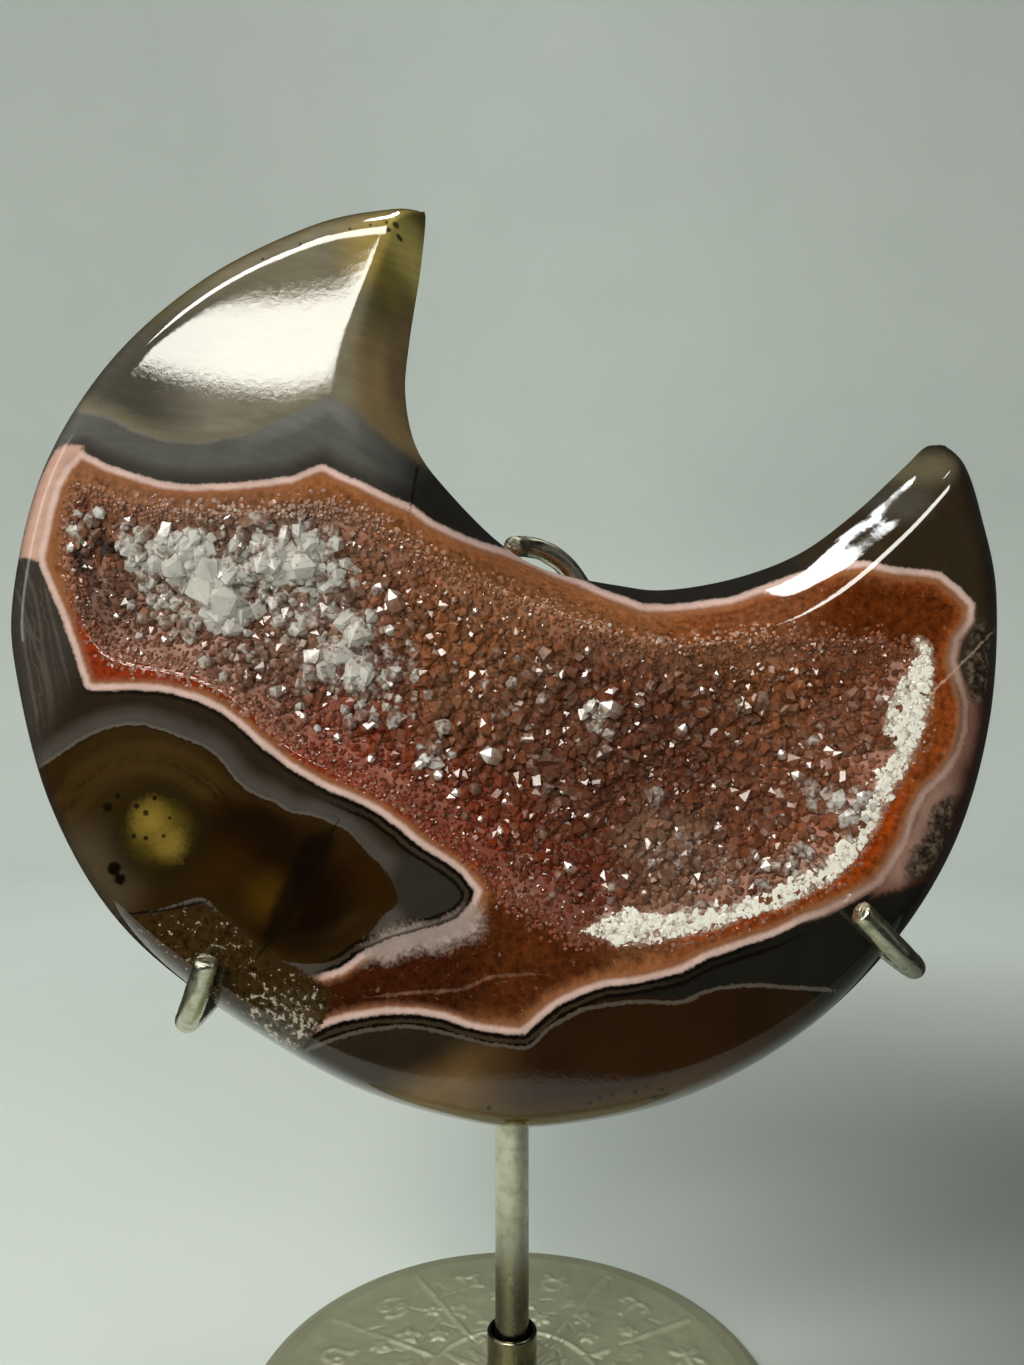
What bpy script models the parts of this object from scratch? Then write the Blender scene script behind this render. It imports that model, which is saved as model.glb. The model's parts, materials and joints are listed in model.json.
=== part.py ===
"""Druzy agate moon on a metal display stand.

A crescent of polished agate stands upright on three bent wires. Its front face opens into a
hollow lined with quartz crystals. The wires meet in a ferrule on top of a rod, and the rod
stands in a collar on a round cast base.

Units are metres and +Z is up. The origin is the centre of the base's underside, on the
rod's axis. The moon's crystal face looks towards -Y.
"""

import math
import random

import bmesh
import bpy
import numpy as np
from mathutils import Matrix, Vector

MM = 0.001
GAP = 0.3 * MM  # between pieces that touch

# Moon: the two edges of the crescent as x, z in mm, both from the upper tip to the right tip
OUTER_EDGE = [
    (-11.8, 172.8), (-16.3, 173.0), (-26.8, 170.8), (-41.5, 163.5), (-54.2, 152.3), (-63.2, 137.6),
    (-67.2, 120.8), (-66.6, 109.2), (-62.2, 92.6), (-53.8, 77.8), (-41.3, 66.6), (-22.6, 55.2),
    (-6.5, 50.1), (4.9, 49.3), (21.8, 52.7), (37.2, 60.6), (50.0, 72.3), (59.4, 86.9),
    (64.3, 103.5), (65.3, 120.7), (63.1, 132.1), (61.1, 138.2), (58.9, 140.9), (57.5, 141.3),
]
INNER_EDGE = [
    (-11.8, 172.8), (-11.7, 171.2), (-12.4, 164.6), (-13.9, 154.9), (-14.4, 147.9), (-12.9, 140.9),
    (-8.8, 135.2), (-1.6, 128.0), (4.9, 124.3), (14.4, 122.3), (20.9, 121.7), (30.2, 123.3),
    (38.8, 126.6), (46.1, 131.9), (52.8, 138.1), (55.7, 140.9), (57.5, 141.3),
]
MOON_STATIONS = 60
GIRDLE_Y = -13.5 * MM  # plane of the crescent's outline
CROWN = 9.3 * MM  # height of each face's ridge over the girdle
DOME = 0.7 * MM  # further rise of each face towards its middle
BEVEL = 6.0 * MM  # width of the ground edge, from outline to ridge
BEVEL_ROWS = (0.5 * MM, 1.6 * MM, 3.4 * MM, BEVEL)
RIDGE_SHARPNESS = 0.42  # 0 for a full round edge, 1 for a straight bevel

# Hollow: its two edges on the front face as x, z in mm, both from its left end to its right
HOLLOW_TOP = [
    (-56.3, 126.2), (-54.4, 133.3), (-45.6, 131.1), (-31.7, 130.6), (-21.2, 131.1), (-10.3, 125.2),
    (2.3, 119.6), (14.9, 114.5), (27.4, 114.5), (41.3, 114.5), (46.3, 114.5), (50.6, 111.9),
]
HOLLOW_BOTTOM = [
    (-56.3, 126.2), (-55.0, 120.8), (-50.6, 113.3), (-39.3, 110.5), (-26.7, 106.4), (-15.4, 98.8),
    (-6.5, 90.7), (3.5, 83.7), (10.7, 79.3), (18.0, 79.9), (26.8, 80.9), (36.0, 84.4),
    (43.0, 91.0), (47.1, 99.0), (47.4, 106.0), (50.6, 111.9),
]
HOLLOW_STATIONS = 30
HOLLOW_ROWS = (1.0 * MM, 2.5 * MM, 4.5 * MM, 8.0 * MM)
HOLLOW_LIP = 1.2 * MM  # straight wall under the polished face
HOLLOW_DEPTH = 7.5 * MM
HOLLOW_STEEPNESS = 3.2 * MM
CUTTER_FRONT_Y = -28.0 * MM

# Crust of quartz crystals in the hollow
CRUST_LIP = 0.3 * MM  # how far the crust's edge lies under the polished face
CRUST_DIP = 5.2 * MM
CRUST_BACK_GAP = 0.4 * MM  # from the crust's back to the hollow's wall
CRUST_SLOPE = 5.0 * MM
CRYSTAL_COUNT = 92
CRYSTAL_ROOM = 3.8 * MM  # least distance from a crystal's axis to the hollow's edge
CRYSTAL_RADIUS = (1.1 * MM, 2.3 * MM)
CRYSTAL_HEIGHT = (2.2 * MM, 4.6 * MM)
CRYSTAL_ROOT = 0.8 * MM
CRYSTAL_TIP_SHARE = 0.45  # share of the height taken by the six-sided point
CRYSTAL_LEAN = math.radians(20)
CRYSTAL_SEED = 4

# Stand
BASE_RADIUS = 40.0 * MM
BASE_PROFILE = [
    (8.0, 5.0), (24.0, 4.8), (35.0, 4.4), (37.5, 3.9), (39.2, 2.9), (40.0, 1.6), (40.0, 0.6), (39.5, 0.0),
]
BASE_SOCKET_FLOOR = 1.2 * MM
ROUND_STEPS = 44
ROD_RADIUS = 2.5 * MM
ROD_TOP = 91.0 * MM
ROD_STEPS = 20
COLLAR_PROFILE = [
    (3.1, 13.4), (3.55, 13.4), (3.7, 13.2), (3.7, 8.2), (3.95, 7.0), (4.3, 6.0), (4.3, 5.35), (3.1, 5.35),
]
FERRULE_RADIUS = 3.2 * MM
FERRULE_BOTTOM = 84.0 * MM
FERRULE_TOP = 96.0 * MM
WIRE_RADIUS = 1.5 * MM
WIRE_POINTS = 20

# Wire routes as x, y, z in mm. A prong runs behind the moon, under its rim and up in front
PRONG_BACK_Y = -1.6
PRONG_WRAP = [(4.2, -1.75), (0.6, -3.6), (-1.5, -7.4), (-2.05, -12.6), (-1.75, -17.2), (-0.3, -21.2)]
LEFT_RIM = (-41.3, 66.4)
LEFT_INWARD = (0.52, 0.854)
LEFT_TIP = (-37.5, -26.2, 74.9)
RIGHT_RIM = (50.9, 73.2)
RIGHT_INWARD = (-0.75, 0.661)
RIGHT_TIP = (42.9, -26.2, 80.9)
PRONG_FRONT = (3.4, -24.9)  # inward from the rim, and y, where the wire turns up the front
BACK_ARM = [
    (0.0, 0.0, 96.4), (0.6, -0.5, 100.0), (4.0, -1.4, 107.5), (8.0, -1.6, 115.0), (10.6, -1.6, 120.5),
    (10.7, -1.8, 124.4), (8.6, -2.4, 127.6), (5.0, -3.6, 129.1), (2.0, -5.6, 128.9), (0.2, -8.2, 128.2),
]


def clear_scene():
    for obj in list(bpy.data.objects):
        bpy.data.objects.remove(obj, do_unlink=True)


def new_collection(name):
    collection = bpy.data.collections.new(name)
    bpy.context.scene.collection.children.link(collection)
    return collection


def finish_material(name, colour, roughness, metallic=0.0):
    material = bpy.data.materials.new(name)
    material.use_nodes = True
    shader = material.node_tree.nodes["Principled BSDF"]
    shader.inputs["Base Color"].default_value = (*colour, 1.0)
    shader.inputs["Roughness"].default_value = roughness
    shader.inputs["Metallic"].default_value = metallic
    return material


def mesh_object(name, bm, collection, material=None):
    """An object of the mesh in bm, with its normals facing out."""
    bmesh.ops.recalc_face_normals(bm, faces=bm.faces)
    mesh = bpy.data.meshes.new(name)
    bm.to_mesh(mesh)
    bm.free()
    obj = bpy.data.objects.new(name, mesh)
    collection.objects.link(obj)
    if material:
        mesh.materials.append(material)
    return obj


def smooth_curve(points, count, crowd=0.0):
    """count points at even arc lengths on a smooth curve through the points, crowded to its ends."""
    knots = np.array(points, float)
    ends = np.vstack([2 * knots[0] - knots[1], knots, 2 * knots[-1] - knots[-2]])
    fine = []
    for a, b, c, d in zip(ends[:-3], ends[1:-2], ends[2:-1], ends[3:]):
        for t in np.linspace(0, 1, 16, endpoint=False):
            square, cube = (2 * a - 5 * b + 4 * c - d) * t**2, (3 * b - a - 3 * c + d) * t**3
            fine.append(0.5 * (2 * b + (c - a) * t + square + cube))
    fine = np.array(fine + [knots[-1]])
    length = np.concatenate([[0], np.cumsum(np.linalg.norm(np.diff(fine, axis=0), axis=1))])
    share = np.linspace(0, 1, count)
    share = share - crowd * np.sin(2 * math.pi * share) / (2 * math.pi)
    return np.column_stack([np.interp(share * length[-1], length, fine[:, i]) for i in range(fine.shape[1])])


def edge_distance(points, outline):
    """Distance of each point to the closed outline, all in the plane of the face."""
    points = np.atleast_2d(points)
    starts, sides = outline, np.roll(outline, -1, axis=0) - outline
    squared = np.maximum((sides**2).sum(axis=1), 1e-18)
    offset = points[:, None] - starts[None]
    along = np.clip((offset * sides).sum(axis=2) / squared, 0, 1)
    return np.linalg.norm(offset - along[..., None] * sides, axis=2).min(axis=1)


def rows_across(first, last, outline, insets):
    """Points from one edge to the other: each inset from both edges, then one in the middle."""
    middle = (first + last) / 2
    deepest = edge_distance(middle, outline)[0]
    most = 0.9 * deepest / insets[-1]
    halves = []
    for start in (first, last):
        half = [start]
        for inset in insets:
            target = inset * min(1.0, most)
            low, high = 0.0, 1.0
            for _ in range(18):
                share = (low + high) / 2
                near = edge_distance(start + (middle - start) * share, outline)[0] < target
                low, high = (share, high) if near else (low, share)
            half.append(start + (middle - start) * high)
        halves.append(half)
    return halves[0] + [middle] + halves[1][::-1]


def face_grid(edge_a, edge_b, insets):
    """Rows of points over the shape between two edges that share both of their ends."""
    outline = np.vstack([edge_a, edge_b[-2:0:-1]])
    return [rows_across(a, b, outline, insets) for a, b in zip(edge_a[1:-1], edge_b[1:-1])], outline


def lens(bm, ends, rows, front, back, rim=None):
    """A closed solid: front and back surfaces over the same rows, joined along the rim.

    front and back give y for points in the plane. With rim set, the surfaces meet at the
    rim in one row at that y, and otherwise a straight wall joins them.
    """
    flat = np.array([point for row in rows for point in row])
    columns = len(rows[0])
    sides = []
    for height in (front, back):
        ys = height(flat).reshape(len(rows), columns)
        tips = height(np.array(ends))
        grid = []
        for i, row in enumerate(rows):
            line = []
            for j, point in enumerate(row):
                if rim is not None and j in (0, columns - 1) and sides:
                    line.append(sides[0][1][i][j])
                    continue
                y = rim if rim is not None and j in (0, columns - 1) else ys[i, j]
                line.append(bm.verts.new((point[0], y, point[1])))
            grid.append(line)
        if rim is not None and sides:
            corners = sides[0][0]
        else:
            corners = [
                bm.verts.new((end[0], rim if rim is not None else y, end[1])) for end, y in zip(ends, tips)
            ]
        for upper, lower in zip(grid, grid[1:]):
            for j in range(columns - 1):
                bm.faces.new((upper[j], upper[j + 1], lower[j + 1], lower[j]))
        for corner, line in zip(corners, (grid[0], grid[-1])):
            for j in range(columns - 1):
                bm.faces.new((corner, line[j], line[j + 1]))
        sides.append((corners, grid))
    if rim is None:
        loops = [
            [corners[0]] + [line[0] for line in grid] + [corners[1]] + [line[-1] for line in grid[::-1]]
            for corners, grid in sides
        ]
        count = len(loops[0])
        for k in range(count):
            n = (k + 1) % count
            bm.faces.new((loops[0][k], loops[0][n], loops[1][n], loops[1][k]))


def crown_height(distance):
    """Height of a face over the girdle plane, by distance from the outline."""
    t = np.clip(distance / BEVEL, 0, 1)
    round_part = np.sqrt(1 - (1 - t) ** 2)
    bevel = CROWN * ((1 - RIDGE_SHARPNESS) * round_part + RIDGE_SHARPNESS * t)
    dome = DOME * np.clip((distance - BEVEL) / (4 * BEVEL), 0, 1) ** 0.7
    return bevel + dome


def moon_edges():
    outer = smooth_curve(OUTER_EDGE, MOON_STATIONS, crowd=0.55) * MM
    inner = smooth_curve(INNER_EDGE, MOON_STATIONS, crowd=0.55) * MM
    return outer, inner


def moon_front(points, outline):
    return GIRDLE_Y - crown_height(edge_distance(points, outline))


def hollow_cutter(moon_outline, rows, ends, outline, collection):
    """The solid that is taken out of the moon's face."""

    def floor(points):
        distance = edge_distance(points, outline)
        bowl = (HOLLOW_DEPTH - HOLLOW_LIP) * (1 - np.exp(-distance / HOLLOW_STEEPNESS))
        return moon_front(points, moon_outline) + HOLLOW_LIP + bowl

    bm = bmesh.new()
    lens(bm, ends, rows, lambda points: np.full(len(points), CUTTER_FRONT_Y), floor)
    cutter = mesh_object("hollow_cutter", bm, collection)
    cutter.hide_render = True
    cutter.display_type = "WIRE"
    return cutter


def make_moon(collection, cutters, moon, hollow):
    rows, outline, ends = moon
    bm = bmesh.new()
    lens(
        bm, ends, rows,
        lambda points: moon_front(points, outline),
        lambda points: 2 * GIRDLE_Y - moon_front(points, outline),
        rim=GIRDLE_Y,
    )
    material = finish_material("polished_agate", (0.068, 0.050, 0.040), 0.12)
    stone = mesh_object("moon_stone", bm, collection, material)
    cutter = hollow_cutter(outline, *hollow, cutters)
    cut = stone.modifiers.new("hollow", "BOOLEAN")
    cut.operation = "DIFFERENCE"
    cut.object = cutter
    stone.data.shade_smooth()
    stone.data.set_sharp_from_angle(angle=math.radians(35))
    return stone


def crystal(bm, foot, axis, radius, height, turn):
    """A six-sided quartz point with unequal faces, its foot buried in the crust."""
    body = height * (1 - CRYSTAL_TIP_SHARE)
    frame = axis.to_track_quat("Z", "Y").to_matrix().to_4x4()
    place = Matrix.Translation(foot) @ frame @ Matrix.Rotation(turn, 4, "Z")
    rings = []
    for level in (-CRYSTAL_ROOT, body):
        ring = []
        for k in range(6):
            angle = k * math.pi / 3
            wide = radius * (1.0 if k % 2 else 0.86)
            ring.append(bm.verts.new(place @ Vector((wide * math.cos(angle), wide * math.sin(angle), level))))
        rings.append(ring)
    tip = bm.verts.new(place @ Vector((0.15 * radius, 0.1 * radius, height)))
    bm.faces.new(rings[0][::-1])
    for k in range(6):
        n = (k + 1) % 6
        bm.faces.new((rings[0][k], rings[0][n], rings[1][n], rings[1][k]))
        bm.faces.new((rings[1][k], rings[1][n], tip))


def make_crust(collection, cutters, moon, hollow):
    """One crust: a bowl that follows the hollow's wall, with the crystals fused to it."""
    moon_outline = moon[1]
    rows, ends, outline = hollow

    def under(points):
        distance = edge_distance(points, outline)
        bowl = (HOLLOW_DEPTH - HOLLOW_LIP) * (1 - np.exp(-distance / HOLLOW_STEEPNESS))
        return moon_front(points, moon_outline) + HOLLOW_LIP + bowl - CRUST_BACK_GAP

    def over(points):
        distance = edge_distance(points, outline)
        return moon_front(points, moon_outline) + CRUST_LIP + CRUST_DIP * (1 - np.exp(-distance / CRUST_SLOPE))

    inner_rows = [[moved_in(row[0], row[1])] + row[1:-1] + [moved_in(row[-1], row[-2])] for row in rows]
    inner_ends = [moved_in(end, row[len(row) // 2]) for end, row in zip(ends, (rows[0], rows[-1]))]
    bm = bmesh.new()
    lens(bm, inner_ends, inner_rows, over, under)
    crust = mesh_object("druzy_crust", bm, collection, finish_material("rusty_quartz", (0.30, 0.14, 0.09), 0.18))

    chance = random.Random(CRYSTAL_SEED)
    low, high = outline.min(axis=0), outline.max(axis=0)
    placed = []
    tries = 0
    bm = bmesh.new()
    while len(placed) < CRYSTAL_COUNT and tries < 6000:
        tries += 1
        spot = np.array([chance.uniform(low[0], high[0]), chance.uniform(low[1], high[1])])
        radius = chance.uniform(*CRYSTAL_RADIUS) * chance.uniform(0.75, 1.0)
        if not inside(spot, outline) or edge_distance(spot, outline)[0] < CRYSTAL_ROOM:
            continue
        if any(np.linalg.norm(spot - other) < 0.95 * (radius + wide) for other, wide in placed):
            continue
        y = over(spot[None])[0]
        room = y - moon_front(spot[None], moon_outline)[0]
        height = min(chance.uniform(*CRYSTAL_HEIGHT), 0.85 * room)
        lean = chance.uniform(0, CRYSTAL_LEAN)
        way = chance.uniform(0, 2 * math.pi)
        axis = Vector((math.sin(lean) * math.cos(way), -math.cos(lean), math.sin(lean) * math.sin(way)))
        crystal(bm, Vector((spot[0], y, spot[1])), axis, radius, height, chance.uniform(0, math.pi / 3))
        placed.append((spot, radius))
    crystals = mesh_object("crystals", bm, cutters)
    crystals.hide_render = True
    crystals.display_type = "WIRE"
    join = crust.modifiers.new("crystals", "BOOLEAN")
    join.operation = "UNION"
    join.use_self = True
    join.object = crystals
    return crust


def moved_in(point, following):
    """A point of the hollow's edge moved off it by the gap, but short of the following point."""
    step = following - point
    return point + step * min(0.4, GAP / np.linalg.norm(step))


def inside(spot, outline):
    x, z = spot
    nexts = np.roll(outline, -1, axis=0)
    crosses = (outline[:, 1] > z) != (nexts[:, 1] > z)
    rise = np.where(crosses, nexts[:, 1] - outline[:, 1], 1.0)
    at = outline[:, 0] + (z - outline[:, 1]) / rise * (nexts[:, 0] - outline[:, 0])
    return bool((crosses & (at > x)).sum() % 2)


def turned(name, profile, steps, collection, material):
    """A turned piece from an x, z profile in metres that runs from the top down its outer side."""
    mesh = bpy.data.meshes.new(name)
    points = [(x, 0.0, z) for x, z in profile]
    mesh.from_pydata(points, [(i, i + 1) for i in range(len(points) - 1)], [])
    obj = bpy.data.objects.new(name, mesh)
    collection.objects.link(obj)
    mesh.materials.append(material)
    screw = obj.modifiers.new("turn", "SCREW")
    screw.axis = "Z"
    screw.steps = screw.render_steps = steps
    screw.use_merge_vertices = True
    screw.merge_threshold = 1e-5
    screw.use_smooth_shade = True
    return obj


def make_base(collection):
    hole = ROD_RADIUS + GAP
    top = BASE_PROFILE[0][1] * MM
    socket = [(0.0, BASE_SOCKET_FLOOR), (hole, BASE_SOCKET_FLOOR), (hole, top)]
    profile = socket + [(x * MM, z * MM) for x, z in BASE_PROFILE] + [(0.0, 0.0)]
    pewter = finish_material("cast_pewter", (0.20, 0.20, 0.14), 0.5, 1.0)
    return turned("base", profile, ROUND_STEPS, collection, pewter)


def make_collar(collection):
    profile = [(x * MM, z * MM) for x, z in COLLAR_PROFILE]
    profile.append(profile[0])
    nickel = finish_material("bright_nickel", (0.6, 0.58, 0.5), 0.15, 1.0)
    return turned("collar", profile, ROD_STEPS, collection, nickel)


def make_rod(collection, material):
    bottom = BASE_SOCKET_FLOOR + GAP
    chamfer = 0.3 * MM
    profile = [
        (0.0, ROD_TOP), (ROD_RADIUS - chamfer, ROD_TOP), (ROD_RADIUS, ROD_TOP - chamfer),
        (ROD_RADIUS, bottom), (0.0, bottom),
    ]
    return turned("rod", profile, ROD_STEPS, collection, material)


def make_ferrule(collection, material):
    chamfer = 0.6 * MM
    bore = ROD_RADIUS + GAP
    roof = ROD_TOP + GAP
    profile = [
        (0.0, FERRULE_TOP), (FERRULE_RADIUS - chamfer, FERRULE_TOP), (FERRULE_RADIUS, FERRULE_TOP - chamfer),
        (FERRULE_RADIUS, FERRULE_BOTTOM), (bore, FERRULE_BOTTOM), (bore, roof), (0.0, roof),
    ]
    return turned("ferrule", profile, ROD_STEPS, collection, material)


def make_wire(name, route, collection, material):
    """A bent wire with square-cut ends along a route in mm."""
    points = smooth_curve(route, WIRE_POINTS) * MM
    curve = bpy.data.curves.new(name, "CURVE")
    curve.dimensions = "3D"
    curve.bevel_depth = WIRE_RADIUS
    curve.bevel_resolution = 2
    curve.use_fill_caps = True
    spline = curve.splines.new("POLY")
    spline.points.add(len(points) - 1)
    for slot, point in zip(spline.points, points):
        slot.co = (*point, 1.0)
    obj = bpy.data.objects.new(name, curve)
    collection.objects.link(obj)
    curve.materials.append(material)
    return obj


def prong_route(side, rim, inward, tip):
    """From the ferrule, behind the moon, round its rim at one place and up in front."""
    start = (side * (FERRULE_RADIUS + 1.8 * GAP) / MM, 0.0, 90.5)
    out = (side * (FERRULE_RADIUS + 2.0 * MM) / MM, 0.0, 90.4)
    behind = (side * 11.0, -1.1, 87.8)
    wrap = [(rim[0] + inward[0] * s, y, rim[1] + inward[1] * s) for s, y in PRONG_WRAP]
    halfway = ((behind[0] + wrap[0][0]) / 2, PRONG_BACK_Y, (behind[2] + wrap[0][2]) / 2)
    lift, front_y = PRONG_FRONT
    front = (rim[0] + inward[0] * lift, front_y, rim[1] + inward[1] * lift)
    return [start, out, behind, halfway] + wrap + [front, tip]


def main():
    clear_scene()
    parts = new_collection("druzy_agate_moon")
    cutters = new_collection("cutters")
    outer, inner = moon_edges()
    moon_rows, moon_outline = face_grid(outer, inner, BEVEL_ROWS)
    moon = (moon_rows, moon_outline, (outer[0], outer[-1]))
    top = smooth_curve(HOLLOW_TOP, HOLLOW_STATIONS) * MM
    bottom = smooth_curve(HOLLOW_BOTTOM, HOLLOW_STATIONS) * MM
    hollow_rows, hollow_outline = face_grid(top, bottom, HOLLOW_ROWS)
    hollow = (hollow_rows, (top[0], top[-1]), hollow_outline)
    make_moon(parts, cutters, moon, hollow)
    make_crust(parts, cutters, moon, hollow)
    steel = finish_material("satin_nickel_wire", (0.52, 0.51, 0.45), 0.3, 1.0)
    make_base(parts)
    make_collar(parts)
    make_rod(parts, steel)
    make_ferrule(parts, steel)
    make_wire("arm_left", prong_route(-1, LEFT_RIM, LEFT_INWARD, LEFT_TIP), parts, steel)
    make_wire("arm_right", prong_route(1, RIGHT_RIM, RIGHT_INWARD, RIGHT_TIP), parts, steel)
    make_wire("arm_back", BACK_ARM, parts, steel)


main()
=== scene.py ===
# Druzy agate moon on a wire stand: finishes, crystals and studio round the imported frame
import json
import math

import bmesh
import bpy
import numpy as np
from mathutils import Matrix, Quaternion, Vector

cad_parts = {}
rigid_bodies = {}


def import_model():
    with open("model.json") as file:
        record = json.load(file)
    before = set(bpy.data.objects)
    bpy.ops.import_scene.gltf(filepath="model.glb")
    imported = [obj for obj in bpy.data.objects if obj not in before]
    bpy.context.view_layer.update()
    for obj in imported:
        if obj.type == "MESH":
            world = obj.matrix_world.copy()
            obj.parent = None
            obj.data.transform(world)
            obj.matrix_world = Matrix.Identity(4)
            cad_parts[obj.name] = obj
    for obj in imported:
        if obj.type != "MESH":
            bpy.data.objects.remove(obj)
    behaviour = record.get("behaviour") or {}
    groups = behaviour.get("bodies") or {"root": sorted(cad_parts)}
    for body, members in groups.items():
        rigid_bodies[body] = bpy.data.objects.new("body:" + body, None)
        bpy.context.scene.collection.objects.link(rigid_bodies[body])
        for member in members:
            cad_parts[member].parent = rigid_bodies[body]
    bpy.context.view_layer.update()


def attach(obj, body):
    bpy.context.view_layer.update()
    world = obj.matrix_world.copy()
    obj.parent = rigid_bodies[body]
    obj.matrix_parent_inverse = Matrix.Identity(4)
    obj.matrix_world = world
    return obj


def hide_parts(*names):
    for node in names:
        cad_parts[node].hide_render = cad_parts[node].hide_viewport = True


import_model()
mm = 0.001  # shapes below are worked out in millimetres

# Where the photograph was taken from. Marks read off it are given in its own 1024 x 1365 pixels
viewer = dict(y=-152.0, z=109.2, focalPx=1025.0, middlePx=(512.0, 682.5), longSidePx=1365.0)
facePlaneY = -23.2  # depth of the polished face, where most marks lie
pixel = (facePlaneY - viewer["y"]) / viewer["focalPx"]  # mm of that face under one pixel of the photograph
rng = np.random.default_rng(20)


def hexColour(code):
    channels = [int(code[i:i + 2], 16) / 255 for i in (1, 3, 5)]
    return (*[c / 12.92 if c <= 0.04045 else ((c + 0.055) / 1.055) ** 2.4 for c in channels], 1.0)


def setInputs(node, values):
    # Links each value that is a socket and sets every other one
    for name, value in values.items():
        if isinstance(value, bpy.types.NodeSocket):
            node.id_data.links.new(value, node.inputs[name])
        else:
            node.inputs[name].default_value = value
    return node


def addNode(tree, kind, values, **settings):
    node = tree.nodes.new("ShaderNode" + kind)
    for name, value in settings.items():
        setattr(node, name, value)
    return setInputs(node, values)


def newMaterial(name, values):
    material = bpy.data.materials.new(name)
    material.use_nodes = True
    return material, material.node_tree, setInputs(material.node_tree.nodes["Principled BSDF"], values)


def addMath(tree, operation, *values):
    return addNode(tree, "Math", dict(enumerate(values)), operation=operation).outputs[0]


def times(tree, first, *others):
    for other in others:
        first = addMath(tree, "MULTIPLY", first, other)
    return first


def mapRange(tree, value, low, high, toLow=0.0, toHigh=1.0, kind="LINEAR"):
    values = {"Value": value, "From Min": low, "From Max": high, "To Min": toLow, "To Max": toHigh}
    return addNode(tree, "MapRange", values, interpolation_type=kind).outputs[0]


def rampBetween(tree, value, start, full):
    return mapRange(tree, value, start, full, kind="SMOOTHSTEP")


def readAttribute(tree, name):
    return addNode(tree, "Attribute", {}, attribute_name=name).outputs["Fac"]


def mixColour(tree, factor, first, second, label=""):
    return addNode(tree, "Mix", {0: factor, 6: first, 7: second}, data_type="RGBA", label=label).outputs[2]


def scaleColour(tree, colour, factor):
    return addNode(tree, "VectorMath", {0: colour, "Scale": factor}, operation="SCALE").outputs[0]


def objectPlace(tree):
    return addNode(tree, "TexCoord", {}).outputs["Object"]


def flatPlace(tree, place):
    # The place as x and z in mm, as marks on the face are
    return addNode(tree, "VectorMath", {0: place, 1: (1 / mm, 0, 1 / mm)}, operation="MULTIPLY").outputs[0]


def grain(tree, place, sizeMm, detail, roughness=0.5):
    values = {"Vector": place, "Scale": 1 / (sizeMm * mm), "Detail": detail, "Roughness": roughness}
    return addNode(tree, "TexNoise", values).outputs["Fac"]


def addBump(tree, height, strength, distanceMm):
    values = {"Strength": strength, "Distance": distanceMm * mm, "Height": height}
    return addNode(tree, "Bump", values).outputs[0]


def spotMask(tree, flat, x, y, outerPx, innerPx):
    # Distance from a mark, and the radii where its ramp starts and is full
    x, z = onFace([(x, y)])[0]
    gap = addNode(tree, "VectorMath", {0: flat, 1: (x, 0, z)}, operation="DISTANCE")
    return gap.outputs["Value"], outerPx * pixel, innerPx * pixel


def unit(vectors):
    return vectors / np.linalg.norm(vectors, axis=-1, keepdims=True)


def smoothPath(points, count, crowd=0.0):
    # Even steps along a smooth curve through the points; crowd gathers them at both ends
    knots = np.array(points, float)
    ends = np.vstack([2 * knots[0] - knots[1], knots, 2 * knots[-1] - knots[-2]])
    steps = np.linspace(0, 1, 16, endpoint=False)[:, None]
    fine = []
    for a, b, c, d in zip(ends[:-3], ends[1:-2], ends[2:-1], ends[3:]):
        square = (2 * a - 5 * b + 4 * c - d) * steps**2
        fine.append(0.5 * (2 * b + (c - a) * steps + square + (3 * b - a - 3 * c + d) * steps**3))
    fine = np.vstack(fine + [knots[-1:]])
    length = np.concatenate([[0], np.cumsum(np.linalg.norm(np.diff(fine, axis=0), axis=1))])
    share = np.linspace(0, 1, count)
    share = share - crowd * np.sin(2 * math.pi * share) / (2 * math.pi)
    return np.column_stack([np.interp(share * length[-1], length, side) for side in fine.T])


def pathDistance(points, path, closed=True):
    # Distance of every point to a path of straight pieces
    starts = path if closed else path[:-1]
    sides = (np.roll(path, -1, axis=0) - path) if closed else np.diff(path, axis=0)
    squared = np.maximum((sides**2).sum(axis=1), 1e-12)
    found = np.empty(len(points))
    for first in range(0, len(points), 4000):
        offset = points[first:first + 4000, None] - starts[None]
        along = np.clip((offset * sides).sum(axis=2) / squared, 0, 1)
        gap = offset - along[..., None] * sides
        found[first:first + 4000] = np.sqrt((gap**2).sum(axis=2).min(axis=1))
    return found


def sideOf(points, path):
    # Distance to an open path, positive on its left and negative on its right
    gap, side = np.full(len(points), 1e9), np.ones(len(points))
    for start, end in zip(path[:-1], path[1:]):
        along, offset = end - start, points - start
        share = np.clip(offset @ along / max(along @ along, 1e-12), 0, 1)
        here = np.linalg.norm(offset - share[:, None] * along, axis=1)
        nearer = here < gap
        gap[nearer] = here[nearer]
        side[nearer] = np.sign(along[0] * offset[nearer, 1] - along[1] * offset[nearer, 0])
    return gap * np.where(side == 0, 1, side), gap


def insideOf(points, outline):
    inside = np.zeros(len(points), bool)
    for (x0, z0), (x1, z1) in zip(outline, np.roll(outline, -1, axis=0)):
        crosses = (z0 > points[:, 1]) != (z1 > points[:, 1])
        if z0 != z1:
            at = x0 + (points[:, 1] - z0) / (z1 - z0) * (x1 - x0)
            inside ^= crosses & (at > points[:, 0])
    return inside


def signedDistance(points, outline):
    # Positive inside the closed outline
    return np.where(insideOf(points, outline), 1.0, -1.0) * pathDistance(points, outline)


def smoothStep(value, low, high):
    t = np.clip((value - low) / (high - low), 0, 1)
    return t * t * (3 - 2 * t)


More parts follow.
